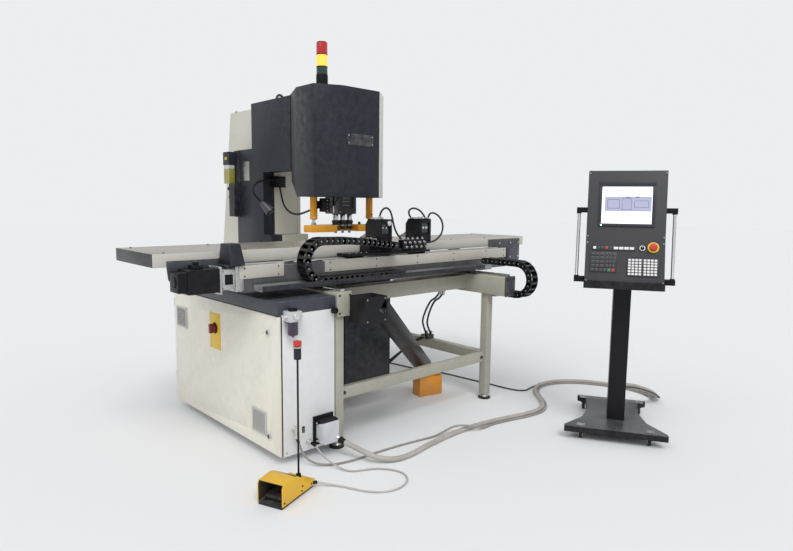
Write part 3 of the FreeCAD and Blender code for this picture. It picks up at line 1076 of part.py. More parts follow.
faults = [item.Label for item in doc.Objects if "Invalid" in item.State or "Error" in item.State]
if faults:
    raise RuntimeError("these did not build: " + ", ".join(faults))
os.makedirs("parts", exist_ok=True)
for name, piece in NODES.items():
    shape = piece.Shape
    if shape.isNull() or not shape.isValid() or not shape.Solids:
        raise RuntimeError(f"{name} has no valid solid")
for name, piece in NODES.items():
    piece.Shape.exportStep(f"parts/{name}.step")
print(f"{len(NODES)} sub-parts written")
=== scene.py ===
import functools
import itertools
import json
import math

import bmesh
import bpy
from mathutils import Matrix, Vector

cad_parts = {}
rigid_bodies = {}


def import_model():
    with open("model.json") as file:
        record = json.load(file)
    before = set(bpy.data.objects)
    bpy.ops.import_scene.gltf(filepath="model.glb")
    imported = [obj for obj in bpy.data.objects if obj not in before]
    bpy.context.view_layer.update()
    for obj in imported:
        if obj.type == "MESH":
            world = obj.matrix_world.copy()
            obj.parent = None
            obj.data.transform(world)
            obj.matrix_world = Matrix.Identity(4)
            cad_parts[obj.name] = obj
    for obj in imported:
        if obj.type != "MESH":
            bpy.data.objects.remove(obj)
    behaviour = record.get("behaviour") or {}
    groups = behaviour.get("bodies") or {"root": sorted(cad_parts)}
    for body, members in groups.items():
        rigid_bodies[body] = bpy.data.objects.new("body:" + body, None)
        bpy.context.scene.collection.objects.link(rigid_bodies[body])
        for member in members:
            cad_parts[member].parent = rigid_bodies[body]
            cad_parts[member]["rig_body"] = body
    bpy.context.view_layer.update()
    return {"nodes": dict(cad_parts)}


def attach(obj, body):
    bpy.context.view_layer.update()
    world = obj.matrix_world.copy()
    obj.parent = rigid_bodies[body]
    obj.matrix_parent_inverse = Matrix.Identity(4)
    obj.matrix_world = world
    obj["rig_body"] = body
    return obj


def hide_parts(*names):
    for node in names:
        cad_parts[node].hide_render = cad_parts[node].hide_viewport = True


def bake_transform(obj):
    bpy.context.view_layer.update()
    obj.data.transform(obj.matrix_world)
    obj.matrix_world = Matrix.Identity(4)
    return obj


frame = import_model()

bl_info = {
    "name": "Hydraulic punching machine",
    "version": (1, 0, 0),
    "blender": (4, 5, 0),
    "location": "3D View > Sidebar > Punching",
    "description": "Finishes a punching machine with its table, console and foot switch",
    "category": "Add Mesh",
}

# Lengths in the pieces below are millimetres, in the space of the thing that they belong to.
# MACHINE starts on the floor at the cabinet's front left corner.
MILLIMETRES = Matrix.Scale(0.001, 4)
MACHINE = Matrix.Translation((-0.983, -0.4643, 0)) @ MILLIMETRES
CONSOLE = MACHINE @ Matrix.Translation((1682, -962, 0)) @ Matrix.Rotation(math.radians(-60), 4, "Z")
LEAN_UP = math.atan2(58, 392)
LEAN_LOW = math.atan2(75, 245)
FOLD = CONSOLE @ Matrix.Translation((0, -20, 1175))
UPPER_FACE = FOLD @ Matrix.Rotation(-LEAN_UP, 4, "X")
LOWER_FACE = FOLD @ Matrix.Rotation(-LEAN_LOW, 4, "X")
SCREEN = UPPER_FACE @ Matrix.Translation((0, 0, 34))
FOOT = MACHINE @ Matrix.Translation((-252, -318, 0)) @ Matrix.Rotation(math.radians(22), 4, "Z")

# The depth of a surface's relief in metres. Corners this close in millimetres are one corner, faces
# this level are one plane, and edges from this angle on are broken.
RELIEF_DEEP = 0.0004
SAME_CORNER = 0.01
SAME_PLANE = math.radians(0.6)
BROKEN_FROM = math.radians(40)

LEFT, RIGHT = (-1, 0, 0), (1, 0, 0)
FRONT, BACK = (0, -1, 0), (0, 1, 0)
DOWN, UP = (0, 0, -1), (0, 0, 1)

# Places where the pieces meet, as x, as y or as both. Those of the casters are the console's.
PUNCHES = {"left": 854, "middle": 912, "right": 970}
PUNCH_LINE = 655
STRIPPER_RODS = (677, 1147)
GRIPPERS = (899, 1249)
TOWER = (738, 642)
CASTERS = ((-190, -39), (190, -39), (-174, 506), (174, 506))
HOSE_HEADS = ((1690, 606), (1712, 578))


# ---- Finishes ----

class Paints(bpy.types.PropertyGroup):
    """The colours of the machine's finishes."""
    cream: bpy.props.FloatVectorProperty(
        name="Cabinet paint", description="Powder coat of the cabinet and the frame's core",
        subtype="COLOR", size=3, default=(0.84, 0.805, 0.69))
    pebble: bpy.props.FloatVectorProperty(
        name="Rail paint", description="Paint of the side rails, legs and lower rails",
        subtype="COLOR", size=3, default=(0.44, 0.43, 0.345))
    slate: bpy.props.FloatVectorProperty(
        name="Cover paint", description="Powder coat of the head, the covers and the console",
        subtype="COLOR", size=3, default=(0.011, 0.012, 0.021))
    signal: bpy.props.FloatVectorProperty(
        name="Stripper paint", description="Paint of the stripper and the scrap bin",
        subtype="COLOR", size=3, default=(0.86, 0.38, 0.012))
    hood: bpy.props.FloatVectorProperty(
        name="Foot switch paint", description="Paint of the foot switch's hood",
        subtype="COLOR", size=3, default=(0.84, 0.48, 0.012))
    stop: bpy.props.FloatVectorProperty(
        name="Stop red", description="Plastic of the emergency stops",
        subtype="COLOR", size=3, default=(0.62, 0.02, 0.02))


class Sizes(bpy.types.PropertyGroup):
    """The sizes of what is added to the bare frame."""
    sheet_edge: bpy.props.FloatProperty(
        name="Sheet edge", description="Rounding of folded sheet edges",
        default=0.0022, unit="LENGTH")
    weld_edge: bpy.props.FloatProperty(
        name="Section edge", description="Rounding of hollow sections and welded plate",
        default=0.0035, unit="LENGTH")
    machined_edge: bpy.props.FloatProperty(
        name="Machined edge", description="Broken edge of machined parts",
        default=0.0009, unit="LENGTH")
    chain_pitch: bpy.props.FloatProperty(
        name="Chain pitch", description="Length of one link of the energy chains",
        default=0.037, unit="LENGTH")
    key_gap: bpy.props.FloatProperty(
        name="Key gap", description="Space between the keys of the console",
        default=0.0045, unit="LENGTH")


def add(tree, kind, inputs=None, **settings):
    """A node of the tree, with its settings, and its inputs set to values or linked to sockets."""
    made = tree.nodes.new(kind)
    for name, value in settings.items():
        setattr(made, name, value)
    for name, value in (inputs or {}).items():
        if isinstance(value, bpy.types.NodeSocket):
            tree.links.new(value, made.inputs[name])
        else:
            made.inputs[name].default_value = value
    return made


def socket_kind(default):
    """The kind of a socket, told from its default, or named where it has none."""
    if isinstance(default, str):
        return default
    if isinstance(default, tuple):
        return "Color" if len(default) == 4 else "Vector"
    return "Int" if isinstance(default, int) else "Float"


def new_group(name, kind, inputs, outputs):
    """A node group with named sockets, what it is given, and where its results go."""
    tree = bpy.data.node_groups.new(name, kind)
    for side, sockets in (("INPUT", inputs), ("OUTPUT", outputs)):
        for label, default in sockets.items():
            made = tree.interface.new_socket(label, in_out=side,
                                             socket_type=f"NodeSocket{socket_kind(default)}")
            if not isinstance(default, str):
                made.default_value = default
    return tree, tree.nodes.new("NodeGroupInput").outputs, tree.nodes.new("NodeGroupOutput").inputs


def maths(tree, operation, *values):
    """The result of a sum on numbers and sockets."""
    return add(tree, "ShaderNodeMath", dict(enumerate(values)), operation=operation).outputs[0]


def noise(tree, place, scale, detail, rough=0.5):
    """Cloudy noise over a place."""
    return add(tree, "ShaderNodeTexNoise", {"Vector": place, "Scale": scale, "Detail": detail,
                                            "Roughness": rough}).outputs["Fac"]


def stretched(tree, value, low, high, to_low=0.0, to_high=1.0):
    """A value's stretch from low to high, carried over to another stretch."""
    return add(tree, "ShaderNodeMapRange", {"Value": value, "From Min": low, "From Max": high,
                                            "To Min": to_low, "To Max": to_high}).outputs["Result"]


def mixed(tree, factor, under, over, blend="MIX"):
    """One colour laid over another."""
    return add(tree, "ShaderNodeMix", {"Factor": factor, "A": under, "B": over}, data_type="RGBA",
               blend_type=blend).outputs["Result"]


def finish_group(name, inputs):
    """A shader group that puts out a finish, and the place that its patterns follow."""
    outputs = {"Color": "Color", "Rough": "Float", "Height": "Float"}
    tree, given, result = new_group(name, "ShaderNodeTree", inputs, outputs)
    return tree, given, result, add(tree, "ShaderNodeTexCoord").outputs["Object"]


def put_out(tree, result, colour, rough, height):
    """Links a finish to the group's results."""
    for name, socket in (("Color", colour), ("Rough", rough), ("Height", height)):
        tree.links.new(socket, result[name])


@functools.cache
def coat_group():
    """Cloudy colour, dust on what faces up, wear on edges, and a fine skin."""
    tree, given, result, place = finish_group("Coat", {
        "Color": (0.5, 0.5, 0.5, 1), "Dust": (0.5, 0.48, 0.42, 1), "Under": (0.35, 0.34, 0.33, 1),
        "Cloud": 0.08, "Dusting": 0.1, "Wear": 0.0, "Rough": 0.4, "Skin size": 450.0})
    shape = add(tree, "ShaderNodeNewGeometry").outputs
    cloud = noise(tree, place, 2.6, 6.0, 0.6)
    shade = stretched(tree, cloud, 0.3, 0.7, maths(tree, "SUBTRACT", 1.0, given["Cloud"]))
    tone = mixed(tree, 1.0, given["Color"], shade, "MULTIPLY")
    facing = add(tree, "ShaderNodeSeparateXYZ", {"Vector": shape["Normal"]}).outputs["Z"]
    specks = noise(tree, place, 23.0, 8.0, 0.7)
    patch = stretched(tree, specks, 0.38, 0.66)
    settled = maths(tree, "MULTIPLY", stretched(tree, facing, 0.35, 1.0), patch)
    dusty = mixed(tree, maths(tree, "MULTIPLY", settled, given["Dusting"]), tone, given["Dust"])
    rubbed = maths(tree, "MULTIPLY", stretched(tree, shape["Pointiness"], 0.53, 0.62), patch)
    worn = mixed(tree, maths(tree, "MULTIPLY", rubbed, given["Wear"]), dusty, given["Under"])
    rough = maths(tree, "ADD", stretched(tree, specks, 0.3, 0.7, -0.05, 0.07), given["Rough"])
    put_out(tree, result, worn, rough, noise(tree, place, given["Skin size"], 2.0))
    return tree


@functools.cache
def grain_group():
    """Fine lines left by brushing, grinding or drawing, along a chosen direction."""
    tree, given, result, place = finish_group("Grain", {
        "Color": (0.6, 0.6, 0.6, 1), "Stretch": (4.0, 400.0, 400.0), "Rough": 0.3, "Stain": 0.15})
    scaled = add(tree, "ShaderNodeVectorMath", {0: place, 1: given["Stretch"]}, operation="MULTIPLY")
    lines = noise(tree, scaled.outputs["Vector"], 1.0, 3.0)
    stain = noise(tree, place, 5.0, 7.0, 0.65)
    cloud = stretched(tree, stain, 0.35, 0.65, maths(tree, "SUBTRACT", 1.0, given["Stain"]))
    both = maths(tree, "MULTIPLY", cloud, stretched(tree, lines, 0.3, 0.7, 0.88, 1.06))
    tone = mixed(tree, 1.0, given["Color"], both, "MULTIPLY")
    rough = maths(tree, "ADD", stretched(tree, lines, 0.3, 0.7, -0.06, 0.1), given["Rough"])
    put_out(tree, result, tone, rough, lines)
    return tree


@functools.cache
def jacket_group():
    """Crossed strands of a braid, or bands round a tube, from its own length and girth."""
    tree, given, result, place = finish_group("Jacket", {
        "Color": (0.5, 0.48, 0.4, 1), "Groove": (0.2, 0.19, 0.16, 1), "Strands": 8.0, "Lay": 1.0,
        "Rough": 0.5})
    girth = add(tree, "ShaderNodeUVMap", uv_map="girth").outputs["UV"]
    parts = add(tree, "ShaderNodeSeparateXYZ", {"Vector": girth}).outputs
    waves = []
    for side in (1.0, -1.0):
        round_it = maths(tree, "MULTIPLY", parts["X"], side)
        along_it = maths(tree, "MULTIPLY", parts["Y"], given["Lay"])
        turns = maths(tree, "MULTIPLY", maths(tree, "ADD", round_it, along_it), given["Strands"])
        waves.append(maths(tree, "SINE", maths(tree, "MULTIPLY", turns, 2 * math.pi)))
    level = stretched(tree, maths(tree, "MAXIMUM", *waves), -0.2, 0.9)
    cloud = stretched(tree, noise(tree, place, 9.0, 6.0), 0.3, 0.7, 0.82, 1.05)
    weave = mixed(tree, level, given["Groove"], given["Color"])
    tone = mixed(tree, 1.0, weave, cloud, "MULTIPLY")
    rough = maths(tree, "ADD", stretched(tree, level, 0.0, 1.0, 0.08, -0.02), given["Rough"])
    put_out(tree, result, tone, rough, level)
    return tree


def rgba(colour):
    return (colour[0], colour[1], colour[2], 1.0)


def shader_of(material):
    return material.node_tree.nodes["Principled BSDF"].inputs


def surface(name, group, values, bump, metallic=0.0, coat=0.0):
    """A material whose colour, roughness and relief come from a shared group."""
    if name in bpy.data.materials:
        return bpy.data.materials[name]
    material = bpy.data.materials.new(name)
    material.use_nodes = True
    tree = material.node_tree
    shader = shader_of(material)
    made = add(tree, "ShaderNodeGroup", node_tree=group)
    for socket, value in values.items():
        made.inputs[socket].default_value = value
    relief = add(tree, "ShaderNodeBump", {"Strength": bump, "Distance": RELIEF_DEEP,
                                          "Height": made.outputs["Height"]})
    tree.links.new(made.outputs["Color"], shader["Base Color"])
    tree.links.new(made.outputs["Rough"], shader["Roughness"])
    tree.links.new(relief.outputs["Normal"], shader["Normal"])
    shader["Metallic"].default_value = metallic
    shader["Coat Weight"].default_value = coat
    return material


def painted(name, colour, rough=0.38, cloud=0.07, dusting=0.12, wear=0.35, dust=(0.52, 0.49, 0.42),
            bump=0.12, skin=420.0, coat=0.0, under=(0.30, 0.29, 0.28)):
    """Powder coat or brushed paint on sheet and sections."""
    return surface(name, coat_group(), {
        "Color": rgba(colour), "Dust": rgba(dust), "Under": rgba(under), "Cloud": cloud, "Dusting": dusting,
        "Wear": wear, "Rough": rough, "Skin size": skin}, bump, coat=coat)


def moulded(name, colour, rough=0.45, dusting=0.06, skin=900.0, bump=0.18, cloud=0.05, coat=0.0):
    """Moulded plastic or rubber."""
    return surface(name, coat_group(), {
        "Color": rgba(colour), "Dust": rgba((0.4, 0.38, 0.34)), "Cloud": cloud, "Dusting": dusting,
        "Wear": 0.0, "Rough": rough, "Skin size": skin}, bump, coat=coat)


def metal(name, colour=(0.58, 0.57, 0.55), rough=0.32, stretch=(4.0, 380.0, 380.0), stain=0.15, bump=0.15):
    """Bare machined, ground or drawn metal."""
    return surface(name, grain_group(), {
        "Color": rgba(colour), "Stretch": stretch, "Rough": rough, "Stain": stain}, bump, metallic=1.0)


def jacket(name, colour, groove, strands, lay, rough):
    """The outside of a hose, a lead or a conduit."""
    return surface(name, jacket_group(), {
        "Color": rgba(colour), "Groove": rgba(groove), "Strands": float(strands), "Lay": float(lay),
        "Rough": rough}, 0.9)


def lit(material, colour, strength):
    """A material that also gives light."""
    shader = shader_of(material)
    shader["Emission Color"].default_value = rgba(colour)
    shader["Emission Strength"].default_value = strength
    return material


def lamp_plastic(name, colour, glow=0.0, rough=0.18):
    """Clear coloured plastic of a lens, with its light if it is lit."""
    material = moulded(name, colour, rough=rough, dusting=0.0, skin=60.0, bump=0.05)
    shader_of(material)["Coat Weight"].default_value = 0.6
    return lit(material, colour, glow) if glow else material


def muted(material, level=0.22):
    """A dark finish whose gloss is weaker than a clear lacquer's."""
    shader_of(material)["Specular IOR Level"].default_value = level
    return material


def paints():
    return bpy.context.scene.punch_paints


def sizes():
    return bpy.context.scene.punch_sizes


def cream():
    return painted("cream_powder_coat", paints().cream, rough=0.33, cloud=0.06, wear=0.15, coat=0.15)


def white():
    return painted("white_powder_coat", (0.80, 0.80, 0.80), rough=0.34, cloud=0.05, wear=0.15, coat=0.15)


def frame_cream():
    return painted("frame_powder_coat", (0.64, 0.62, 0.52), rough=0.34, cloud=0.05, wear=0.2, coat=0.15)


def pebble():
    return painted("pebble_section_paint", paints().pebble, rough=0.42, cloud=0.14, dusting=0.2, wear=0.5)


def slate():
    return muted(painted("slate_powder_coat", paints().slate, rough=0.42, cloud=0.05, dusting=0.05,
                         wear=0.25, dust=(0.16, 0.155, 0.15), bump=0.14), 0.4)


def black_paint():
    return muted(painted("black_enamel", (0.006, 0.006, 0.008), rough=0.36, dusting=0.04, wear=0.25,
                         dust=(0.10, 0.10, 0.09), under=(0.12, 0.12, 0.12)))


def black_plastic():
    return muted(moulded("black_moulding", (0.006, 0.006, 0.008), rough=0.42, dusting=0.02))


def black_rubber():
    return moulded("black_rubber", (0.012, 0.012, 0.012), rough=0.65, dusting=0.2, bump=0.3)


def signal_yellow():
    return painted("signal_yellow_paint", paints().signal, rough=0.34, cloud=0.12, dusting=0.03, wear=0.5)


def hood_yellow():
    return painted("hood_yellow_paint", paints().hood, rough=0.36, cloud=0.08, dusting=0.03, wear=0.4,
                   skin=300.0)


def stop_red():
    return moulded("stop_red_moulding", paints().stop, rough=0.3, dusting=0.0, coat=0.3)


def steel():
    return metal("ground_steel", (0.56, 0.55, 0.53))


def bright_steel():
    return metal("chromed_steel", (0.72, 0.72, 0.72), rough=0.12, stain=0.05, stretch=(30.0, 30.0, 300.0),
                 bump=0.04)


def aluminium():
    return metal("drawn_aluminium", (0.78, 0.77, 0.75), rough=0.36, stretch=(3.0, 300.0, 300.0), stain=0.08)


def blackened():
    return metal("blackened_steel", (0.10, 0.095, 0.09), rough=0.42, stretch=(60.0, 60.0, 60.0), stain=0.35)


def galvanised():
    return metal("galvanised_sheet", (0.50, 0.50, 0.49), rough=0.42, stretch=(40.0, 40.0, 40.0), stain=0.35,
                 bump=0.05)


# ---- Meshes ----

def circle(count):
    """The angles of points spaced evenly round a circle."""
    return [2 * math.pi * i / count for i in range(count)]


def rings_along(mesh, path, radius, sides):
    """Rings of points square to a path, each turned as little as it can be from the last."""
    rings, side = [], None
    for i, point in enumerate(path):
        ahead = (path[min(i + 1, len(path) - 1)] - path[max(i - 1, 0)]).normalized()
        side = ahead.orthogonal() if side is None else side - ahead * side.dot(ahead)
        side.normalize()
        other = ahead.cross(side)
        rings.append([mesh.verts.new(point + radius * (side * math.cos(angle) + other * math.sin(angle)))
                      for angle in circle(sides)])
    return rings


class Shape:
    """Collects simple bodies, in one space's millimetres, into one piece."""

    def __init__(self, name, space=MACHINE):
        self.name = name
        self.space = space
        self.mesh = bmesh.new()
        self.materials = []

    def keep(self, faces, material):
        """Gives new faces their material."""
        if material not in self.materials:
            self.materials.append(material)
        for face in faces:
            face.material_index = self.materials.index(material)

    def box(self, low, high, material, turn=None):
        """A block between two corners, turned about its middle."""
        low, high = Vector(low), Vector(high)
        place = Matrix.Translation((low + high) / 2) @ (turn.to_4x4() if turn else Matrix.Identity(4))
        place = place @ Matrix.Diagonal((*(high - low), 1))
        made = bmesh.ops.create_cube(self.mesh, size=1, matrix=place)
        self.keep({face for vert in made["verts"] for face in vert.link_faces}, material)

    def boxes(self, corners, material):
        """Blocks, each between two corners."""
        for low, high in corners:
            self.box(low, high, material)

    def lathe(self, foot, axis, outline, material, sides=32):
        """A turned body: outline is (radius, height) pairs along the axis from its foot."""
        turn = Vector(axis).normalized().to_track_quat("Z", "Y").to_matrix()
        foot = Vector(foot)
        rings = []
        for radius, height in outline:
            angles = circle(sides) if radius else [0.0]
            rings.append([self.mesh.verts.new(foot + turn @ Vector((
                radius * math.cos(angle), radius * math.sin(angle), height))) for angle in angles])
        faces = []
        for low, high in zip(rings, rings[1:]):
            for i in range(sides):
                j = (i + 1) % sides
                corners = [low[i % len(low)], low[j % len(low)], high[j % len(high)], high[i % len(high)]]
                corners = [v for n, v in enumerate(corners) if v not in corners[:n]]
                faces.append(self.mesh.faces.new(corners))
        if len(rings[0]) > 1:
            faces.append(self.mesh.faces.new(list(reversed(rings[0]))))
        if len(rings[-1]) > 1:
            faces.append(self.mesh.faces.new(rings[-1]))
        self.keep(faces, material)

    def rod(self, foot, axis, radius, length, material, sides=28, edge=0.0):
        """A round bar with broken edges."""
        edge = min(edge, radius / 2, length / 2)
        outline = [(radius, 0), (radius, length)]
        if edge:
            outline = [(radius - edge, 0), (radius, edge), (radius, length - edge), (radius - edge, length)]
        self.lathe(foot, axis, outline, material, sides)

    def hex(self, foot, axis, flats, length, material):
        """A hexagon nut or head, by its width across flats."""
        radius = flats / math.sqrt(3)
        trim = flats * 0.04
        self.lathe(foot, axis, [(radius - trim, 0), (radius, trim), (radius, length - trim),
                                (radius - trim, length)], material, 6)

    def plate(self, outline, low, high, material, plane="XY"):
        """A flat piece: its outline in a plane, from low to high across it."""
        order = {"XY": (0, 1, 2), "XZ": (0, 2, 1), "YZ": (1, 2, 0)}[plane]

        def corner(point, level):
            place = [0, 0, 0]
            place[order[0]], place[order[1]], place[order[2]] = point[0], point[1], level
            return self.mesh.verts.new(place)
        under = [corner(point, low) for point in outline]
        over = [corner(point, high) for point in outline]
        faces = [self.mesh.faces.new(list(reversed(under))), self.mesh.faces.new(over)]
        for i, start in enumerate(under):
            j = (i + 1) % len(under)
            faces.append(self.mesh.faces.new([start, under[j], over[j], over[i]]))
        bmesh.ops.recalc_face_normals(self.mesh, faces=faces)
        self.keep(faces, material)

    def tube(self, route, radius, material, sides=12):
        """A round tube through a list of points, straight from one to the next."""
        rings = rings_along(self.mesh, [Vector(point) for point in route], radius, sides)
        faces = [self.mesh.faces.new(list(reversed(rings[0]))), self.mesh.faces.new(rings[-1])]
        for low, high in zip(rings, rings[1:]):
            for n in range(sides):
                m = (n + 1) % sides
                faces.append(self.mesh.faces.new([low[n], low[m], high[m], high[n]]))
        self.keep(faces, material)

    def raw(self):
        """The mesh alone, in the row frame."""
        data = bpy.data.meshes.new(self.name)
        self.mesh.transform(self.space)
        bmesh.ops.recalc_face_normals(self.mesh, faces=self.mesh.faces)
        self.mesh.to_mesh(data)
        self.mesh.free()
        for material in self.materials:
            data.materials.append(material)
        return data

    def finish(self, body, edge=0.0, slot=None):
        """The piece in the row frame, on its body, with its edges broken."""
        return settle(self.name, self.raw(), body, edge)


def settle(name, data, body, edge=0.0, segments=2, replaces=(), sharp=34.0):
    """A mesh as a finished piece, its edges rounded and its faces smoothed, on its body if it has one."""
    piece = bpy.data.objects.new(name, data)
    bpy.context.scene.collection.objects.link(piece)
    if edge:
        bevel = piece.modifiers.new("Edges", "BEVEL")
        bevel.width = edge
        bevel.segments = segments
        bevel.limit_method = "ANGLE"
        bevel.angle_limit = BROKEN_FROM
        bevel.harden_normals = False
        rounded = evaluated(piece)
        piece.modifiers.clear()
        piece.data = rounded
        rounded.name = name
    piece.data.shade_smooth()
    piece.data.set_sharp_from_angle(angle=math.radians(sharp))
    if body:
        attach(piece, body)
    if replaces:
        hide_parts(*replaces)
    return piece


def evaluated(piece):
    """The mesh that a piece's modifiers, or its curve, make."""
    bpy.context.view_layer.update()
    found = piece.evaluated_get(bpy.context.evaluated_depsgraph_get())
    return bpy.data.meshes.new_from_object(found)


def body_of(node):
    return frame["nodes"][node]["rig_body"]


def finished(node, materials, edge=0.0, pick=None, segments=2, space=MACHINE):
    """A frame node as a finished piece: same shape, broken edges, and each face in its own finish.
    pick(middle, normal) gives the number of a face's finish."""
    data = frame["nodes"][node].data.copy()
    mesh = bmesh.new()
    mesh.from_mesh(data)
    mesh.transform(space.inverted())
    bmesh.ops.remove_doubles(mesh, verts=mesh.verts, dist=SAME_CORNER)
    mesh.normal_update()
    for face in mesh.faces:
        face.material_index = pick(face.calc_center_median(), face.normal) if pick else 0
    bmesh.ops.dissolve_limit(mesh, angle_limit=SAME_PLANE, verts=mesh.verts, edges=mesh.edges,
                             delimit={"MATERIAL"})
    mesh.transform(space)
    data.materials.clear()
    for material in materials:
        data.materials.append(material)
    mesh.to_mesh(data)
    mesh.free()
    return settle(f"{node}_finish", data, body_of(node), edge, segments, (node,))


def machine(x, y, z):
    """A point of the machine's millimetres in the row frame."""
    return MACHINE @ Vector((x, y, z))


def inside(point, low, high):
    """Whether a point lies between two corners."""
    return all(a <= p <= b for p, a, b in zip(point, low, high))


# ---- Repeats ----

def copies(tree, points, part, turn, finish):
    """Copies of a part on points, made real, in their finish."""
    placed = add(tree, "GeometryNodeInstanceOnPoints", {"Points": points, "Instance": part,
                                                          "Rotation": turn})
    real = add(tree, "GeometryNodeRealizeInstances", {"Geometry": placed.outputs["Instances"]})
    return add(tree, "GeometryNodeSetMaterial", {"Geometry": real.outputs["Geometry"],
                                                 "Material": finish}).outputs["Geometry"]


@functools.cache
def fitted_tree():
    """Sets one part on each point, turned to the point's facing."""
    tree, given, result = new_group("Fitted parts", "GeometryNodeTree", {
        "Geometry": "Geometry", "Part": "Object", "Finish": "Material"}, {"Geometry": "Geometry"})
    facing = add(tree, "GeometryNodeInputNamedAttribute", {"Name": "facing"}, data_type="FLOAT_VECTOR")
    turn = add(tree, "FunctionNodeAlignRotationToVector", {"Vector": facing.outputs["Attribute"]}, axis="Z")
    part = add(tree, "GeometryNodeObjectInfo", {"Object": given["Part"]})
    made = copies(tree, given["Geometry"], part.outputs["Geometry"], turn.outputs["Rotation"],
                  given["Finish"])
    tree.links.new(made, result["Geometry"])
    return tree


@functools.cache
def rows_tree():
    """Blocks in columns along X and rows down Z, from the first block's middle."""
    tree, given, result = new_group("Rows of blocks", "GeometryNodeTree", {
        "Geometry": "Geometry", "Columns": 1, "Rows": 1, "Across": 10.0, "Down": 10.0,
        "First": (0.0, 0.0, 0.0), "Block": (1.0, 1.0, 1.0), "Turn": (0.0, 0.0, 0.0),
        "Finish": "Material"}, {"Geometry": "Geometry"})
    index = add(tree, "GeometryNodeInputIndex").outputs[0]
    column = maths(tree, "FLOORED_MODULO", index, given["Columns"])
    row = maths(tree, "FLOOR", maths(tree, "DIVIDE", index, given["Columns"]))
    right = maths(tree, "MULTIPLY", column, given["Across"])
    down = maths(tree, "MULTIPLY", -1.0, maths(tree, "MULTIPLY", row, given["Down"]))
    offset = add(tree, "ShaderNodeCombineXYZ", {"X": right, "Z": down}).outputs[0]
    spot = add(tree, "ShaderNodeVectorMath", {0: offset, 1: given["First"]}, operation="ADD").outputs[0]
    count = maths(tree, "MULTIPLY", given["Columns"], given["Rows"])
    points = add(tree, "GeometryNodePoints", {"Count": count, "Position": spot})
    block = add(tree, "GeometryNodeMeshCube", {"Size": given["Block"]})
    turn = add(tree, "FunctionNodeEulerToRotation", {"Euler": given["Turn"]})
    made = copies(tree, points.outputs[0], block.outputs["Mesh"], turn.outputs["Rotation"], given["Finish"])
    tree.links.new(made, result["Geometry"])
    return tree


@functools.cache
def links_tree():
    """Sets a link and its pin at every pitch along a line, its width held to one direction."""
    tree, given, result = new_group("Chain of links", "GeometryNodeTree", {
        "Geometry": "Geometry", "Link": "Object", "Pin": "Object", "Pitch": 0.03, "Width": (0.0, 1.0, 0.0),
        "Link finish": "Material", "Pin finish": "Material"}, {"Geometry": "Geometry"})
    line = add(tree, "GeometryNodeMeshToCurve", {"Mesh": given["Geometry"]}).outputs["Curve"]
    steps = add(tree, "GeometryNodeResampleCurve", {"Curve": line, "Length": given["Pitch"]}, mode="LENGTH")
    along = add(tree, "GeometryNodeInputTangent").outputs[0]
    ahead = add(tree, "FunctionNodeAlignRotationToVector", {"Vector": along}, axis="X").outputs["Rotation"]
    level = add(tree, "FunctionNodeAlignRotationToVector", {"Rotation": ahead, "Vector": given["Width"]},
                axis="Y", pivot_axis="X").outputs["Rotation"]
    joined = add(tree, "GeometryNodeJoinGeometry")
    for name in ("Link", "Pin"):
        part = add(tree, "GeometryNodeObjectInfo", {"Object": given[name]}).outputs["Geometry"]
        made = copies(tree, steps.outputs["Curve"], part, level, given[f"{name} finish"])
        tree.links.new(made, joined.inputs["Geometry"])
    tree.links.new(joined.outputs["Geometry"], result["Geometry"])
    return tree


def repeated(name, source, tree, values):
    """What a tree makes of a mesh, with its inputs set by name."""
    holder = bpy.data.objects.new(name, source)
    bpy.context.scene.collection.objects.link(holder)
    maker = holder.modifiers.new("Repeat", "NODES")
    maker.node_group = tree
    for item in tree.interface.items_tree:
        if item.item_type == "SOCKET" and item.in_out == "INPUT" and item.name in values:
            maker[item.identifier] = values[item.name]
    data = evaluated(holder)
    bpy.data.objects.remove(holder)
    return data


def loose_part(data):
    """An object that only serves as a pattern for a repeat."""
    part = bpy.data.objects.new(f"{data.name}_pattern", data)
    bpy.context.scene.collection.objects.link(part)
    return part


def head_pattern(kind, radius):
    """A fastener's head, seated at its origin and facing up Z."""
    shape = Shape(f"{kind}_head", MILLIMETRES)
    tall = 1.05
    turned = {
        "socket": [(16, [(1, 0), (1, tall * 0.85), (0.86, tall), (0.55, tall), (0.55, tall * 0.4),
                         (0, tall * 0.4)])],
        "hex": [(20, [(1.25, 0), (1.25, 0.2)]),
                (6, [(1, 0.2), (1, tall * 0.8), (0.88, tall * 0.9), (0, tall * 0.9)])],
        "button": [(16, [(1, 0), (0.92, 0.3), (0.6, 0.55), (0.35, 0.6), (0.35, 0.3), (0, 0.3)])],
        "cone": [(24, [(0.2, 0), (1, 0.05), (1, 0.2), (0.45, 1.0), (0.28, tall), (0.28, 1.5)])]}
    for sides, outline in turned[kind]:
        shape.lathe((0, 0, 0), UP, [(radius * across, radius * high) for across, high in outline], steel(),
                    sides)
    return loose_part(shape.raw())


def seats(way, *spans):
    """Places that all face one way, on a grid: x, y and z are each one number or several."""
    spans = [span if isinstance(span, (tuple, range)) else (span,) for span in spans]
    return [(point, way) for point in itertools.product(*spans)]


def fitted(name, body, places, radius, material, kind="socket", space=MACHINE):
    """Like fasteners on a body: places are pairs of a point and the way it faces."""
    data = bpy.data.meshes.new(name)
    data.from_pydata([space @ Vector(point) for point, way in places], [], [])
    facing = data.attributes.new("facing", "FLOAT_VECTOR", "POINT")
    turn = space.to_3x3().normalized()
    for i, (point, way) in enumerate(places):
        facing.data[i].vector = (turn @ Vector(way)).normalized()
    pattern = head_pattern(kind, radius)
    result = repeated(name, data, fitted_tree(), {"Part": pattern, "Finish": material})
    bpy.data.objects.remove(pattern)
    return settle(name, result, body)


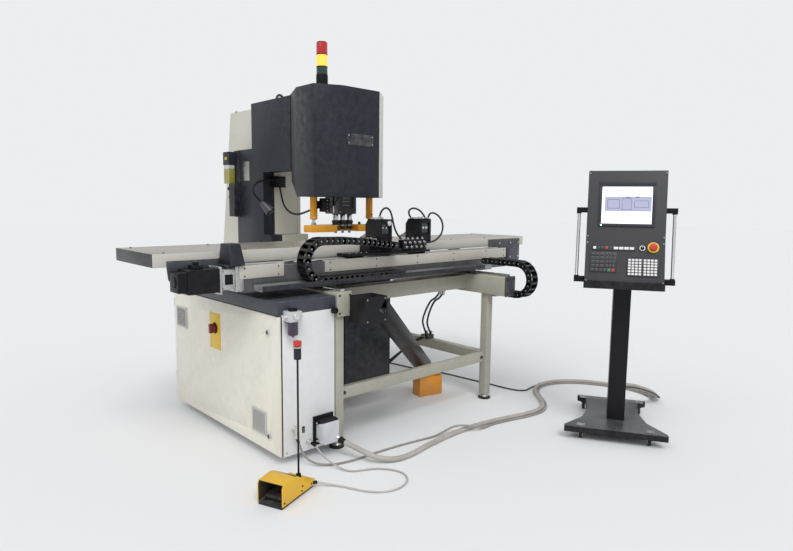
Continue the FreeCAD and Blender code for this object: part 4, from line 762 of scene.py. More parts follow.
def rows(name, body, first, block, material, columns=1, down=1, across=10.0, pitch=10.0, turn=(0, 0, 0),
         space=MACHINE, edge=0.0):
    """Like blocks in columns and rows, first being the middle of the top left one."""
    data = repeated(name, bpy.data.meshes.new(name), rows_tree(), {
        "Columns": columns, "Rows": down, "Across": float(across), "Down": float(pitch), "First": first,
        "Block": block, "Turn": turn, "Finish": material})
    data.transform(space)
    return settle(name, data, body, edge=edge)


# ---- Cables ----

FOOT_SWITCH_LEAD = [
    (176, -30, 95), (180, -71, 83), (185, -106, 58), (191, -145, 39), (199, -186, 27),
    (213, -225, 15), (230, -264, 6), (258, -295, 5), (299, -311, 5), (338, -329, 5), (374, -353, 5),
    (401, -388, 5), (421, -426, 5), (431, -468, 5), (419, -510, 5), (393, -544, 5), (356, -568, 5),
    (314, -580, 5), (271, -578, 5), (230, -564, 5), (195, -539, 5), (167, -505, 5), (146, -467, 5),
    (126, -428, 5), (112, -387, 5), (87, -352, 6), (55, -323, 14), (21, -299, 24)]
CONTROL_CONDUIT = [
    (324, -85, 92), (355, -187, 67), (398, -290, 36), (490, -345, 14), (610, -353, 14),
    (726, -327, 14), (874, -309, 14), (1022, -298, 14), (1171, -300, 14), (1318, -322, 14),
    (1464, -352, 14), (1607, -391, 14), (1755, -405, 14), (1884, -342, 14), (1983, -231, 14),
    (2086, -124, 14), (2224, -72, 14), (2369, -97, 14), (2494, -176, 14), (2584, -294, 14),
    (2642, -431, 14), (2685, -572, 14), (2659, -717, 14), (2569, -829, 27), (2442, -845, 97),
    (2306, -821, 152), (2164, -811, 194), (2019, -818, 226), (1879, -860, 240)]
SUPPLY_CONDUIT = [
    (85, -30, 150), (98, -54, 51), (160, -123, 6), (255, -174, 6), (360, -192, 6), (467, -191, 6),
    (574, -198, 6), (680, -209, 6), (787, -225, 6), (897, -246, 6), (970, -256, 22),
    (1040, -276, 46), (1100, -322, 46), (1165, -347, 22), (1236, -354, 6), (1314, -347, 6),
    (1458, -376, 6), (1603, -416, 6), (1759, -430, 6), (1899, -362, 6), (2001, -248, 6),
    (2100, -145, 6), (2226, -97, 6), (2360, -120, 6), (2477, -194, 6), (2562, -307, 6),
    (2619, -440, 6), (2660, -573, 6), (2636, -707, 6), (2556, -807, 19), (2443, -820, 89),
    (2309, -796, 144), (2164, -786, 186), (2012, -794, 218), (1866, -838, 232)]
REAR_CABLE = [
    (1072, 1450, 60), (1140, 1450, 45), (1255, 1450, 15), (1383, 1444, 5), (1509, 1418, 5), (1625, 1365, 5),
    (1727, 1287, 5), (1803, 1185, 5), (1823, 1058, 5), (1838, 931, 5), (1873, 807, 5),
    (1916, 686, 5), (1940, 560, 5), (1948, 432, 5), (1966, 304, 5), (1979, 176, 5), (1985, 52, 5),
    (2004, -34, 5), (2048, -80, 5), (2126, -64, 5), (2252, -50, 5), (2378, -75, 5), (2510, -158, 5),
    (2605, -282, 5), (2665, -423, 5), (2709, -571, 5), (2681, -727, 5), (2581, -850, 18),
    (2441, -869, 88), (2303, -845, 143), (2164, -835, 185), (2023, -842, 217), (1891, -881, 231)]
PRESSURE_HOSE = [
    (1450, 250, 756), (1467, 298, 710), (1491, 366, 684), (1515, 421, 637), (1540, 471, 584),
    (1567, 519, 531), (1603, 563, 479), (1650, 594, 428), (1690, 606, 367)]
RETURN_HOSE = [
    (1450, 216, 756), (1468, 266, 711), (1494, 334, 685), (1519, 388, 634), (1546, 437, 579),
    (1577, 483, 525), (1615, 527, 472), (1666, 560, 424), (1712, 578, 367)]
LOW_PRESSURE_HOSE = [
    (1655, 590, 350), (1569, 593, 332), (1485, 599, 302), (1404, 610, 262), (1331, 632, 212),
    (1260, 670, 162), (1190, 740, 122), (1110, 811, 110), (1042, 872, 110)]
LOW_RETURN_HOSE = [
    (1655, 616, 350), (1569, 619, 327), (1490, 625, 285), (1414, 636, 237), (1340, 654, 182),
    (1266, 692, 132), (1190, 770, 96), (1110, 852, 86), (1042, 925, 86)]
VALVE_HOSE = [
    (846, 1330, 1477), (837, 1302, 1430), (812, 1242, 1375), (785, 1160, 1325), (764, 1060, 1294),
    (745, 955, 1284), (729, 855, 1296), (726, 750, 1322), (735, 640, 1345)]
FIRST_GRIPPER_HOSE = [
    (925, 290, 1279), (929, 286, 1316), (962, 272, 1346), (990, 258, 1322), (992, 242, 1270),
    (990, 222, 1218), (992, 196, 1172), (1012, 171, 1140)]
SECOND_GRIPPER_HOSE = [
    (1216, 300, 1270), (1196, 303, 1292), (1190, 300, 1326), (1222, 286, 1342), (1258, 266, 1326),
    (1276, 248, 1298), (1284, 235, 1270)]
THIRD_GRIPPER_HOSE = [
    (1286, 216, 1270), (1294, 215, 1302), (1336, 214, 1312), (1394, 213, 1286), (1430, 212, 1238),
    (1424, 208, 1184), (1384, 200, 1146), (1326, 186, 1124), (1268, 176, 1116), (1210, 171, 1114)]


def nurbs(name, route):
    """A smooth line with the route's points as its control points."""
    curve = bpy.data.curves.new(name, "CURVE")
    curve.dimensions = "3D"
    curve.resolution_u = 10
    spline = curve.splines.new("NURBS")
    spline.points.add(len(route) - 1)
    for point, spot in zip(spline.points, route):
        point.co = (*machine(*spot), 1)
    spline.order_u = 3
    spline.use_endpoint_u = True
    return curve


def followed(name, route):
    """The points that a smooth line passes through."""
    line = bpy.data.objects.new(f"{name}_line", nurbs(f"{name}_line", route))
    bpy.context.scene.collection.objects.link(line)
    data = evaluated(line)
    path = [vertex.co.copy() for vertex in data.vertices]
    bpy.data.objects.remove(line)
    bpy.data.meshes.remove(data)
    return path


def tube_mesh(name, path, diameter, material, sides=20):
    """A round tube along a path, with its girth and length as a UV map."""
    mesh = bmesh.new()
    girth = mesh.loops.layers.uv.new("girth")
    rings = rings_along(mesh, path, diameter / 2, sides)
    steps = [0.0] + [(b - a).length / (math.pi * diameter) for a, b in zip(path, path[1:])]
    lengths = list(itertools.accumulate(steps))
    for i in range(len(rings) - 1):
        for n in range(sides):
            m = (n + 1) % sides
            face = mesh.faces.new([rings[i][n], rings[i][m], rings[i + 1][m], rings[i + 1][n]])
            places = ((n, i), (n + 1, i), (n + 1, i + 1), (n, i + 1))
            for loop, (turn, step) in zip(face.loops, places):
                loop[girth].uv = (turn / sides, lengths[step])
    mesh.faces.new(list(reversed(rings[0])))
    mesh.faces.new(rings[-1])
    data = bpy.data.meshes.new(name)
    bmesh.ops.recalc_face_normals(mesh, faces=mesh.faces)
    mesh.to_mesh(data)
    mesh.free()
    data.materials.append(material)
    return data


class PUNCH_OT_cables(bpy.types.Operator):
    """Lay the conduits, the leads and the hydraulic hoses"""
    bl_idname = "punch.cables"
    bl_label = "Cables and hoses"

    def execute(self, context):
        braid = jacket("braided_conduit", (0.62, 0.58, 0.52), (0.20, 0.18, 0.16), 9, 0.8, 0.42)
        wound = jacket("wound_conduit", (0.50, 0.48, 0.45), (0.14, 0.13, 0.12), 0.5, 9.0, 0.4)
        silver = jacket("silver_lead", (0.62, 0.59, 0.56), (0.20, 0.19, 0.18), 0.5, 7.0, 0.38)
        rubber = jacket("hose_rubber", (0.012, 0.012, 0.013), (0.006, 0.006, 0.006), 12, 1.0, 0.48)
        lead = jacket("lead_rubber", (0.016, 0.016, 0.017), (0.010, 0.010, 0.010), 1, 0.0, 0.42)
        for name, route, diameter, length, stiffness, material, node in (
                ("control_conduit_braid", CONTROL_CONDUIT, 0.028, 3.937, "stiff", braid, "control_conduit"),
                ("supply_conduit_jacket", SUPPLY_CONDUIT, 0.012, 4.117, "medium", wound, "supply_conduit"),
                ("rear_cable_jacket", REAR_CABLE, 0.010, 4.110, "medium", lead, "rear_cable"),
                ("foot_switch_lead_jacket", FOOT_SWITCH_LEAD, 0.009, 1.164, "medium", silver,
                 "foot_switch_lead"),
                ("valve_hose_jacket", VALVE_HOSE, 0.014, 0.775, "medium", rubber, "valve_hose"),
                ("pressure_hose", PRESSURE_HOSE, 0.014, 0.600, "stiff", rubber, "hydraulic_hoses"),
                ("return_hose", RETURN_HOSE, 0.014, 0.610, "stiff", rubber, "hydraulic_hoses"),
                ("low_pressure_hose", LOW_PRESSURE_HOSE, 0.014, 0.758, "stiff", rubber, "hydraulic_hoses"),
                ("low_return_hose", LOW_RETURN_HOSE, 0.014, 0.787, "stiff", rubber, "hydraulic_hoses"),
                ("first_gripper_hose", FIRST_GRIPPER_HOSE, 0.012, 0.322, "stiff", rubber, "gripper_hoses"),
                ("second_gripper_hose", SECOND_GRIPPER_HOSE, 0.012, 0.209, "stiff", rubber, "gripper_hoses"),
                ("third_gripper_hose", THIRD_GRIPPER_HOSE, 0.012, 0.480, "stiff", rubber, "gripper_hoses")):
            path = followed(name, route)
            piece = settle(name, tube_mesh(name, path, diameter, material), body_of(node), replaces=(node,))
        return {"FINISHED"}


# ---- Cabinet ----

def grille(name, y, z):
    """A filter grille on the door: a moulded frame, its dark back and slanted slats."""
    wide, tall, rim, face, seat = 146, 132, 11, -10, -2.5
    pale = moulded("grille_moulding", (0.52, 0.52, 0.49), rough=0.5)
    shape = Shape(name)
    shape.boxes([((face, y, z), (seat, y + wide, z + rim)),
                 ((face, y, z + tall - rim), (seat, y + wide, z + tall)),
                 ((face, y, z + rim), (seat, y + rim, z + tall - rim)),
                 ((face, y + wide - rim, z + rim), (seat, y + wide, z + tall - rim))], pale)
    shape.box((-3.6, y + rim, z + rim), (-2.6, y + wide - rim, z + tall - rim), black_plastic())
    shape.finish("door", edge=0.0012)
    slats, slat_deep, slat_thick = 11, 7.5, 2.0
    step = (tall - 2 * rim) / slats
    rows(f"{name}_slats", "door", (-6.6, y + wide / 2, z + tall - rim - step / 2),
         (slat_deep, wide - 2 * rim + 1, slat_thick), pale, down=slats, pitch=step,
         turn=(0, math.radians(-38), 0), edge=0.0005)


class PUNCH_OT_cabinet(bpy.types.Operator):
    """Finish the electrical cabinet with its door, grilles, locks, switch and fittings"""
    bl_idname = "punch.cabinet"
    bl_label = "Electrical cabinet"

    def execute(self, context):
        yellow = moulded("switch_plate", (0.80, 0.52, 0.02), rough=0.35, dusting=0.02)
        fold = sizes().sheet_edge

        def door_finish(p, n):
            if p.x < -0.5 and 630 < p.y < 770 and 495 < p.z < 720:
                return 1
            return 2 if p.y > 1281 else 0
        finished("cabinet_shell", [white(), galvanised()], fold,
                 pick=lambda p, n: 1 if inside(p, (40, 60, 60), (345.5, 1220, 780)) else 0)
        finished("cabinet_door", [cream(), yellow, steel()], fold, pick=door_finish)
        roof = painted("roof_paint", (0.040, 0.042, 0.058), rough=0.36, dusting=0.3, dust=(0.20, 0.20, 0.20))
        finished("cabinet_roof", [roof], 0.005, segments=3)
        gasket = Shape("door_gasket")
        gasket.boxes([((13, 0.2, 55.5), (20.3, 1.2, 792.5)), ((13, 1278.8, 55.5), (20.3, 1279.8, 792.5)),
                      ((13, 0.2, 791.8), (20.3, 1279.8, 793.2)), ((13, 0.2, 54.8), (20.3, 1279.8, 56.2))],
                     black_rubber())
        gasket.finish("door", slot="rubber")
        for name, z in (("upper", 700), ("lower", 140)):
            self.lock(name, 101, z)
        grip = moulded("switch_grip", (0.20, 0.010, 0.012), rough=0.35, dusting=0.0, coat=0.2)
        finished("main_switch", [grip, black_plastic()], 0.0016, pick=lambda p, n: 1 if p.x > -8 else 0)
        ring = Shape("main_switch_collar")
        ring.lathe((-3.1, 700, 627), LEFT, [(33, 0), (33, 1.6), (31, 2.6), (28, 2.6), (27.5, 0.4), (0, 0.4)],
                   black_plastic())
        ring.finish("door")
        grille("upper_grille", 1083, 562)
        grille("lower_grille", 122, 134)
        for name, body, places, radius in (
                ("switch_plate_screws", "door", seats(LEFT, -3, (644, 756), (510, 708)), 3.4),
                ("cabinet_end_screws", "machine", seats(FRONT, (40, 330), 0, (66, 780)), 4.5),
                ("hinge_caps", "door", seats(UP, 10, 1292, (249.5, 729.5)), 5)):
            fitted(name, body, places, radius, steel(), kind="button")
        self.fittings()
        self.boots()
        return {"FINISHED"}

    def lock(self, name, y, z):
        """A quarter-turn lock with its triangular insert."""
        finished(f"door_lock_{name}", [bright_steel()], 0.0012)
        insert = Shape(f"lock_{name}_insert")
        insert.lathe((-8.0, y, z), LEFT, [(10.5, 0), (10.5, 0.5), (8.5, 0.9), (8.5, 0.2), (0, 0.2)],
                     black_plastic())
        insert.plate([(y - 4, z - 3), (y + 4, z - 3), (y, z + 5)], -9.4, -8.1, steel(), plane="YZ")
        insert.finish(f"door_lock_{name}")

    def fittings(self):
        """The air unit, the glands, the socket and the connector on the cabinet's end."""
        shell = painted("air_unit_paint", (0.62, 0.62, 0.64), rough=0.3, wear=0.3)
        bowl = moulded("smoked_bowl", (0.035, 0.012, 0.040), rough=0.12, dusting=0.0, coat=0.6)
        black, silver = black_plastic(), aluminium()
        pale = painted("connector_hood_paint", (0.62, 0.63, 0.66), rough=0.32)
        dial = moulded("dial_face", (0.75, 0.75, 0.73))
        shutter = moulded("socket_shutter", (0.03, 0.03, 0.035), rough=0.3)
        unit = (62, -36)

        def finish(p, n):
            if inside(p, (0, -70, 700), (130, 0, 840)):
                if p.z < 773 and math.hypot(p.x - unit[0], p.y - unit[1]) < 27.5:
                    return 1
                if math.hypot(p.y + 30, p.z - 797) < 9.5 and (p.x < 26 or p.x > 98):
                    return 3
                return 2 if p.z > 824.5 else 0
            if inside(p, (200, -90, 60), (345, 0, 230)):
                if inside(p, (221.5, -82.5, 85), (320.5, -27, 187)) or (
                        -27 < p.y < -8.5 and 107 < p.z < 185):
                    return 4
                return 3 if p.x > 285 and p.z < 130 and p.y < -48 else 2
            return 2 if p.x > 300 or (135 < p.x < 152) else 3
        finished("cabinet_fittings", [shell, bowl, black, silver, pale], 0.002, pick=finish)
        shape = Shape("fitting_details")
        shape.lathe((62, -66, 799), FRONT, [(17, 0), (17, 7), (15.5, 8.5), (14, 8.5), (13.5, 7.4), (0, 7.4)],
                    silver)
        shape.lathe((62, -73.5, 799), FRONT, [(13.2, 0), (13.2, 0.4), (0, 0.4)], dial)
        shape.box((61, -74.6, 798), (63, -74.0, 809), black, turn=Matrix.Rotation(0.7, 3, "Y"))
        shape.lathe((*unit, 704), DOWN, [(27, 0), (25, 3), (19, 6), (10, 7.5), (7, 7.5), (7, 14), (5, 16),
                                         (0, 16)], bowl)
        for angle in circle(10):
            at = Vector((unit[0] + 22 * math.cos(angle), unit[1] + 22 * math.sin(angle), 824))
            shape.box(at - Vector((1.6, 1.6, 0)), at + Vector((1.6, 1.6, 13)), black,
                      turn=Matrix.Rotation(angle, 3, "Z"))
        for x, z in ((85, 188), (176, 95)):
            shape.hex((x, 0, z), FRONT, 31, 7, silver)
            shape.lathe((x, -8, z), FRONT, [(12.5, 0), (12.5, 14), (11, 18), (10.4, 21)], silver, 20)
        shape.hex((85, -30, 158), DOWN, 25, 12, silver)
        for z in (97, 195):
            for x in (212, 328):
                shape.rod((x, -26, z), FRONT, 5, 5, silver, edge=0.8)
            shape.box((330, -48, z - 7), (336, -10, z + 7), black)
        shape.box((139, -5.4, 158), (148, -4, 183), shutter)
        for z in (164, 177):
            shape.lathe((143.5, -5.5, z), FRONT, [(2.6, 0), (2.6, 0.5), (1.6, 0.5), (0, 0.2)], silver, 14)
        socket = (338, 792)
        shape.hex((socket[0], -4, socket[1]), FRONT, 24, 5, silver)
        for angle in circle(12):
            foot = (socket[0] + 16.2 * math.cos(angle), -9, socket[1] + 16.2 * math.sin(angle))
            shape.rod(foot, FRONT, 1.8, 20, black, 8)
        shape.finish("machine", edge=0.0006)

    def boots(self):
        """The tapered reliefs where the conduits and the lead leave the cabinet."""
        shape = Shape("conduit_strain_reliefs")
        for route, radius in ((CONTROL_CONDUIT, 14.6), (SUPPLY_CONDUIT, 6.6), (FOOT_SWITCH_LEAD, 5.0)):
            start = Vector(route[0])
            way = (Vector(route[1]) - start).normalized()
            shape.lathe(start - way * 2, way, [(radius + 3.5, 0), (radius + 3.2, 8), (radius + 1.6, 20),
                                               (radius + 0.4, 34), (radius - 0.5, 36)], black_plastic(), 24)
        shape.finish("machine", edge=0.0004)


# ---- Table base ----

class PUNCH_OT_base(bpy.types.Operator):
    """Finish the side rails, their guides, the legs, the feet and the hose block"""
    bl_idname = "punch.base"
    bl_label = "Table base"

    def execute(self, context):
        dark_cap = painted("rail_cap_paint", (0.045, 0.046, 0.055), rough=0.42, wear=0.4, dusting=0.2)
        section = sizes().weld_edge

        def rail(p, n):
            if p.x > 1650 and p.y < -149.9:
                return 1
            return 2 if p.x > 1760.1 else 0

        def legs(p, n):
            if inside(p, (1650, 555, 336.9), (1730, 640, 370)):
                return 1
            return 2 if 1435 < p.x < 1465 and 200 < p.y < 265 and p.z < 775.9 else 0
        finished("side_rails", [pebble(), dark_cap, steel()], section, pick=rail)
        finished("rail_guides", [bright_steel()], 0.0012)
        holes = seats(UP, 412, range(30, 1190, 60), 900) + seats(UP, 1710, range(-120, 1190, 60), 900)
        fitted("guide_screws", "machine", holes, 4.6, blackened(), kind="button")
        caps = seats(FRONT, (376, 448), -12, (770, 868)) + seats(FRONT, (1674, 1746), -162, (770, 868))
        fitted("rail_cap_screws", "machine", caps, 5.5, blackened())
        finished("base_frame", [pebble(), blackened(), steel()], section, pick=legs)
        finished("levelling_feet", [black_rubber(), steel()], 0.0016,
                 pick=lambda p, n: 1 if p.z > 12.1 else 0)
        cabinet_feet = seats(UP, (170, 290), (170, 1220), 11.5)
        table_feet = seats(UP, (389.5, 1702.5), (32.5, 1207.5), 11.5)
        fitted("foot_cones", "machine", cabinet_feet + table_feet, 30, steel(), kind="cone")
        fitted("foot_nuts", "machine", seats(UP, (170, 290), (170, 1220), 38), 12, steel(), kind="hex")
        fitted("lower_rail_bolts", "machine", seats(FRONT, (440, 1652), 27, 303), 9, blackened(), kind="hex")
        shape = Shape("base_details")
        for y in (250, 216):
            shape.hex((1450, y, 776), DOWN, 30, 9, steel())
            shape.lathe((1450, y, 767), DOWN, [(12, 0), (12, 12), (9, 26)], steel(), 20)
        for x, y in HOSE_HEADS:
            shape.hex((x, y, 367), UP, 24, 8, steel())
            shape.lathe((x, y, 375), (0.1, -0.3, 1), [(9.5, 0), (9.5, 16), (8.2, 20)], steel(), 20)
        for y in (590, 616):
            shape.hex((1655, y, 350), LEFT, 22, 8, steel())
        shape.finish("machine", edge=0.0009)
        return {"FINISHED"}


# ---- C-frame ----

class PUNCH_OT_c_frame(bpy.types.Operator):
    """Finish the C-shaped frame with its covers, its die holder and its lifting eye"""
    bl_idname = "punch.c_frame"
    bl_label = "C-frame"

    def execute(self, context):
        def core(p, n):
            return 1 if abs(p.z - 1040) < 0.5 and p.y < 760 or abs(p.z - 1130) < 0.5 else 0

        def cover(p, n):
            if p.x > 1042.2 and p.z < 80 and p.y > 1400:
                return 1
            return 2 if p.x > 1012 and p.y > 560.5 else 0

        def die(p, n):
            return 1 if min(math.hypot(p.x - x, p.y - PUNCH_LINE) for x in PUNCHES.values()) < 25.3 else 0
        finished("frame_core", [frame_cream(), steel()], 0.004, pick=core)
        finished("frame_covers", [slate(), steel(), frame_cream()], sizes().sheet_edge, pick=cover)
        seams = Shape("cover_seams")
        seams.boxes([((717.4, 561, 776), (718, 1744, 778.5)), ((717.4, 1180, 190), (718, 1182.5, 776)),
                     ((718.5, 379.6, 536), (1105.5, 380.4, 538.5))], black_plastic())
        seams.finish("machine")
        screws = seats(LEFT, 718, (600, 1140, 1222, 1716), (60, 400, 736))
        screws += seats(LEFT, 718, (1010, 1480), (1620, 2050))
        screws += seats(RIGHT, 1042, (850, 1140, 1222, 1716), (60, 400, 736))
        screws += seats(FRONT, (736, 1088), 380, (212, 518, 558, 864))
        fitted("cover_screws", "machine", screws, 5, blackened(), kind="button")
        fitted("frame_top_bolts", "machine", seats(UP, (840, 984), (1560, 1960), 2079), 13, blackened(),
               kind="hex")
        finished("die_holder", [blackened(), bright_steel()], sizes().machined_edge, pick=die)
        fitted("die_holder_screws", "machine", seats(UP, (831, 993), (609, 701), 1106), 5.5, steel())
        finished("lifting_eye", [blackened()], 0.001)
        return {"FINISHED"}


# ---- Head ----

class PUNCH_OT_head(bpy.types.Operator):
    """Finish the head's cover with its bare plates"""
    bl_idname = "punch.head"
    bl_label = "Head cover"

    def execute(self, context):
        # The faces of the head's right return that look right are drawn in a pale colour, unlike the slate
        # of the rest of the cover.
        pale = painted("head_return_paint", (0.70, 0.69, 0.63), rough=0.38, cloud=0.04)
        plate = painted("badge_enamel", (0.016, 0.016, 0.026), rough=0.30, cloud=0.03, dusting=0.02,
                        wear=0.6)
        side = metal("side_plate", (0.45, 0.45, 0.44), rough=0.35, stretch=(200.0, 3.0, 200.0))
        finished("head_cover", [slate(), pale], 0.003, segments=3,
                 pick=lambda p, n: 1 if p.x > 1070 and n.x > 0.3 else 0)
        finished("name_plates", [plate, side, steel()], 0.0008,
                 pick=lambda p, n: 1 if p.y > 1000 else (2 if p.y < 452.9 else 0))
        lines = Shape("head_seams")
        lines.box((759, 461.2, 1409), (761.5, 463.2, 2088), black_plastic())
        lines.finish("machine")
        spots = ((640, 620), (660, 700), (1150, 640), (1150, 700), (912, 940), (780, 510), (1040, 510))
        fitted("head_top_screws", "machine", [((x, y, 2092), UP) for x, y in spots], 4.5, blackened(),
               kind="button")
        return {"FINISHED"}


class PUNCH_OT_ram(bpy.types.Operator):
    """Finish the cylinder, the ram block and its three punches"""
    bl_idname = "punch.ram"
    bl_label = "Ram and punches"

    def execute(self, context):
        block = painted("ram_enamel", (0.020, 0.020, 0.024), rough=0.34, wear=0.6, dusting=0.05)
        window = painted("ram_window", (0.055, 0.055, 0.062), rough=0.3)
        cylinder = painted("cylinder_paint", (0.20, 0.21, 0.23), rough=0.4, wear=0.5)

        def ram(p, n):
            if math.hypot(p.x - PUNCHES["middle"], p.y - PUNCH_LINE) < 55.4 and p.z > 1520.5:
                return 2
            return 1 if inside(p, (863, 600.5, 1336), (961, 616, 1416)) else 0

        def punch(p, n):
            return 1 if 1193 < p.z < 1254.5 else (2 if p.z < 1193 else 0)
        finished("ram_cylinder", [cylinder], 0.004)
        finished("ram_block", [block, window, bright_steel()], 0.0022, pick=ram)
        fitted("ram_block_screws", "ram", seats(FRONT, (849, 975), 600, (1308, 1408, 1506)), 6, steel())
        detail = Shape("ram_window_detail")
        for z in (1352, 1378, 1402):
            detail.rod((880, 615.2, z), RIGHT, 4, 64, steel(), 12)
        detail.box((836, 640, 1430), (838.2, 690, 1490), steel())
        for x in PUNCHES.values():
            detail.rod((x, PUNCH_LINE, 1290), UP, 22.5, 5.2, blackened(), edge=1)
        detail.finish("ram", edge=0.0006)
        for name, x in PUNCHES.items():
            finished(f"punch_{name}", [bright_steel(), blackened(), steel()], 0.0008, pick=punch)
            nut = Shape(f"punch_{name}_collar")
            nut.hex((x, PUNCH_LINE, 1235), UP, 48, 14, blackened())
            nut.lathe((x, PUNCH_LINE, 1214), UP, [(24, 0), (24, 2), (24, 8), (23.2, 9)], steel(), 28)
            nut.finish(f"punch_{name}", edge=0.0005)
        return {"FINISHED"}


class PUNCH_OT_stripper(bpy.types.Operator):
    """Finish the two stripper cylinders and the yellow stripper bar"""
    bl_idname = "punch.stripper"
    bl_label = "Stripper"

    def execute(self, context):
        yellow = signal_yellow()

        def holder(p, n):
            off = math.hypot(abs(p.x - PUNCHES["middle"]) - 235, p.y - PUNCH_LINE)
            return 0 if off < 24.3 and p.z < 1540.1 else 1

        def bar(p, n):
            return 0 if p.z < 1222.1 else (2 if abs(p.x - 1062) < 12 else 1)
        finished("stripper_cylinders", [yellow, black_paint()], 0.0018, pick=holder)
        finished("stripper_bar", [yellow, bright_steel(), black_plastic()], 0.003, segments=3, pick=bar)
        shape = Shape("stripper_cylinder_details")
        for x in STRIPPER_RODS:
            shape.lathe((x, PUNCH_LINE, 1258), UP, [(18, 0), (20, 3), (20, 6.2)], steel())
            shape.lathe((x, PUNCH_LINE, 1263.5), UP, [(25.5, 0), (25.5, 10), (24, 11.5)], yellow)
            shape.lathe((x, PUNCH_LINE, 1518), UP, [(26.5, 0), (26.5, 20), (25, 21.9)], black_paint())
            for z in (1290, 1500):
                shape.rod((x, 631, z), FRONT, 6.5, 8, steel(), edge=1)
                shape.hex((x, 624, z), FRONT, 12, 6, steel())
            shape.tube([(x, 619, 1500), (x + 4, 606, 1502), (x + 10, 604, 1514), (x + 10, 612, 1532),
                        (x + 8, 630, 1541)], 4, black_rubber())
        for z in (1318, 1340, 1362, 1384):
            shape.rod((735, 590, z), FRONT, 5, 6, steel(), edge=1)
        for route in (
                [(735, 584, 1362), (742, 572, 1366), (762, 566, 1384), (800, 572, 1420), (828, 590, 1450)],
                [(735, 584, 1340), (744, 568, 1338), (770, 560, 1352), (806, 570, 1400), (830, 592, 1440)]):
            shape.tube(route, 3.5, black_rubber())
        shape.finish("machine", edge=0.0006)
        nuts = seats(UP, STRIPPER_RODS, PUNCH_LINE, 1222)
        fitted("stripper_rod_nuts", "stripper", nuts, 17, steel(), kind="hex")
        return {"FINISHED"}


# ---- On the head ----

class PUNCH_OT_signal(bpy.types.Operator):
    """Finish the signal tower with its lit lamps"""
    bl_idname = "punch.signal"
    bl_label = "Signal tower"

    def execute(self, context):
        lenses = [black_plastic(), lamp_plastic("green_lens", (0.008, 0.05, 0.035)),
                  lamp_plastic("amber_lens", (1.0, 0.50, 0.06), glow=0.85),
                  lamp_plastic("red_lens", (0.45, 0.012, 0.010), glow=0.10)]
        joints = (2175, 2224, 2298)
        finished("signal_tower", lenses, 0.003, segments=3,
                 pick=lambda p, n: sum(p.z >= joint + 0.05 for joint in joints))
        shape = Shape("signal_tower_rings")
        for z in joints:
            shape.lathe((*TOWER, z - 2.5), UP, [(35.8, 0), (36.6, 1), (36.6, 4), (35.8, 5)],
                        black_plastic(), 48)
        shape.lathe((*TOWER, 2092), UP, [(39.5, 0), (39.5, 3), (38, 5)], black_plastic(), 48)
        shape.lathe((*TOWER, 2371), UP, [(31.6, 0), (31.6, 4.5), (29, 5.9), (0, 5.9)], black_plastic(), 48)
        shape.finish("machine")
        return {"FINISHED"}


class PUNCH_OT_lubricator(bpy.types.Operator):
    """Finish the lubricator, its bottle and the work lamp"""
    bl_idname = "punch.lubricator"
    bl_label = "Lubricator and lamp"

    def execute(self, context):
        tank = moulded("oil_tank", (0.36, 0.33, 0.07), rough=0.20, dusting=0.0, coat=0.4)
        label = moulded("tank_label", (0.62, 0.62, 0.66), rough=0.4, dusting=0.0)

        def part(p, n):
            if inside(p, (662, 1765, 1507.9), (712, 1851, 1652.1)):
                return 1
            return 0 if p.z < 1509 and p.x < 713.9 and p.y > 1698 else 2
        finished("lubricator", [slate(), tank, slate()], 0.0025, pick=part)
        shape = Shape("lubricator_details")
        shape.boxes([((662.4, 1768, 1622), (664, 1848, 1651)), ((665, 1764.4, 1622), (709, 1766, 1651))],
                    label)
        for z in range(1524, 1620, 16):
            shape.box((662.4, 1822, z), (663.4, 1846, z + 2), black_plastic())
        shape.box((659, 1790, 1690), (660.4, 1830, 1712), moulded("tank_mark", (0.55, 0.42, 0.05)))
        shape.hex((692, 1800, 1420), BACK, 16, 12, steel())
        shape.rod((692, 1786, 1420), BACK, 9, 14, bright_steel(), edge=1)
        shape.lathe((692, 1818, 1470), BACK, [(15, 0), (15, 8), (12, 14), (0, 14)], black_plastic(), 28)
        shape.tube([(692, 1812, 1420), (692, 1826, 1414), (694, 1830, 1396), (700, 1820, 1370),
                    (705, 1800, 1352), (709, 1784, 1344)], 4.5, black_rubber())
        shape.finish("machine", edge=0.0006)
        self.lamp()
        return {"FINISHED"}

    def lamp(self):
        """The work lamp, its rim and its glass."""
        mouth = Vector((680, 1188, 1296))
        back = Vector((-0.43, 0.52, 0.74)).normalized()
        head = moulded("lamp_head", (0.060, 0.055, 0.075), rough=0.3)
        glass = lamp_plastic("lamp_glass", (0.55, 0.60, 0.75), rough=0.25)
        finished("work_lamp", [black_paint(), head], 0.0016,
                 pick=lambda p, n: 1 if p.z < 1372 and (p - mouth).length < 104 else 0)
        shape = Shape("work_lamp_glass")
        shape.lathe(mouth + back * 1.5, -back, [(33, 0), (33, 1.6), (28, 3), (0, 4)], glass, 36)
        shape.lathe(mouth + back * 6, -back, [(37.6, 0), (39, 2), (39, 8), (36, 9)], black_plastic(), 36)
        shape.finish("machine")


# ---- Table ----

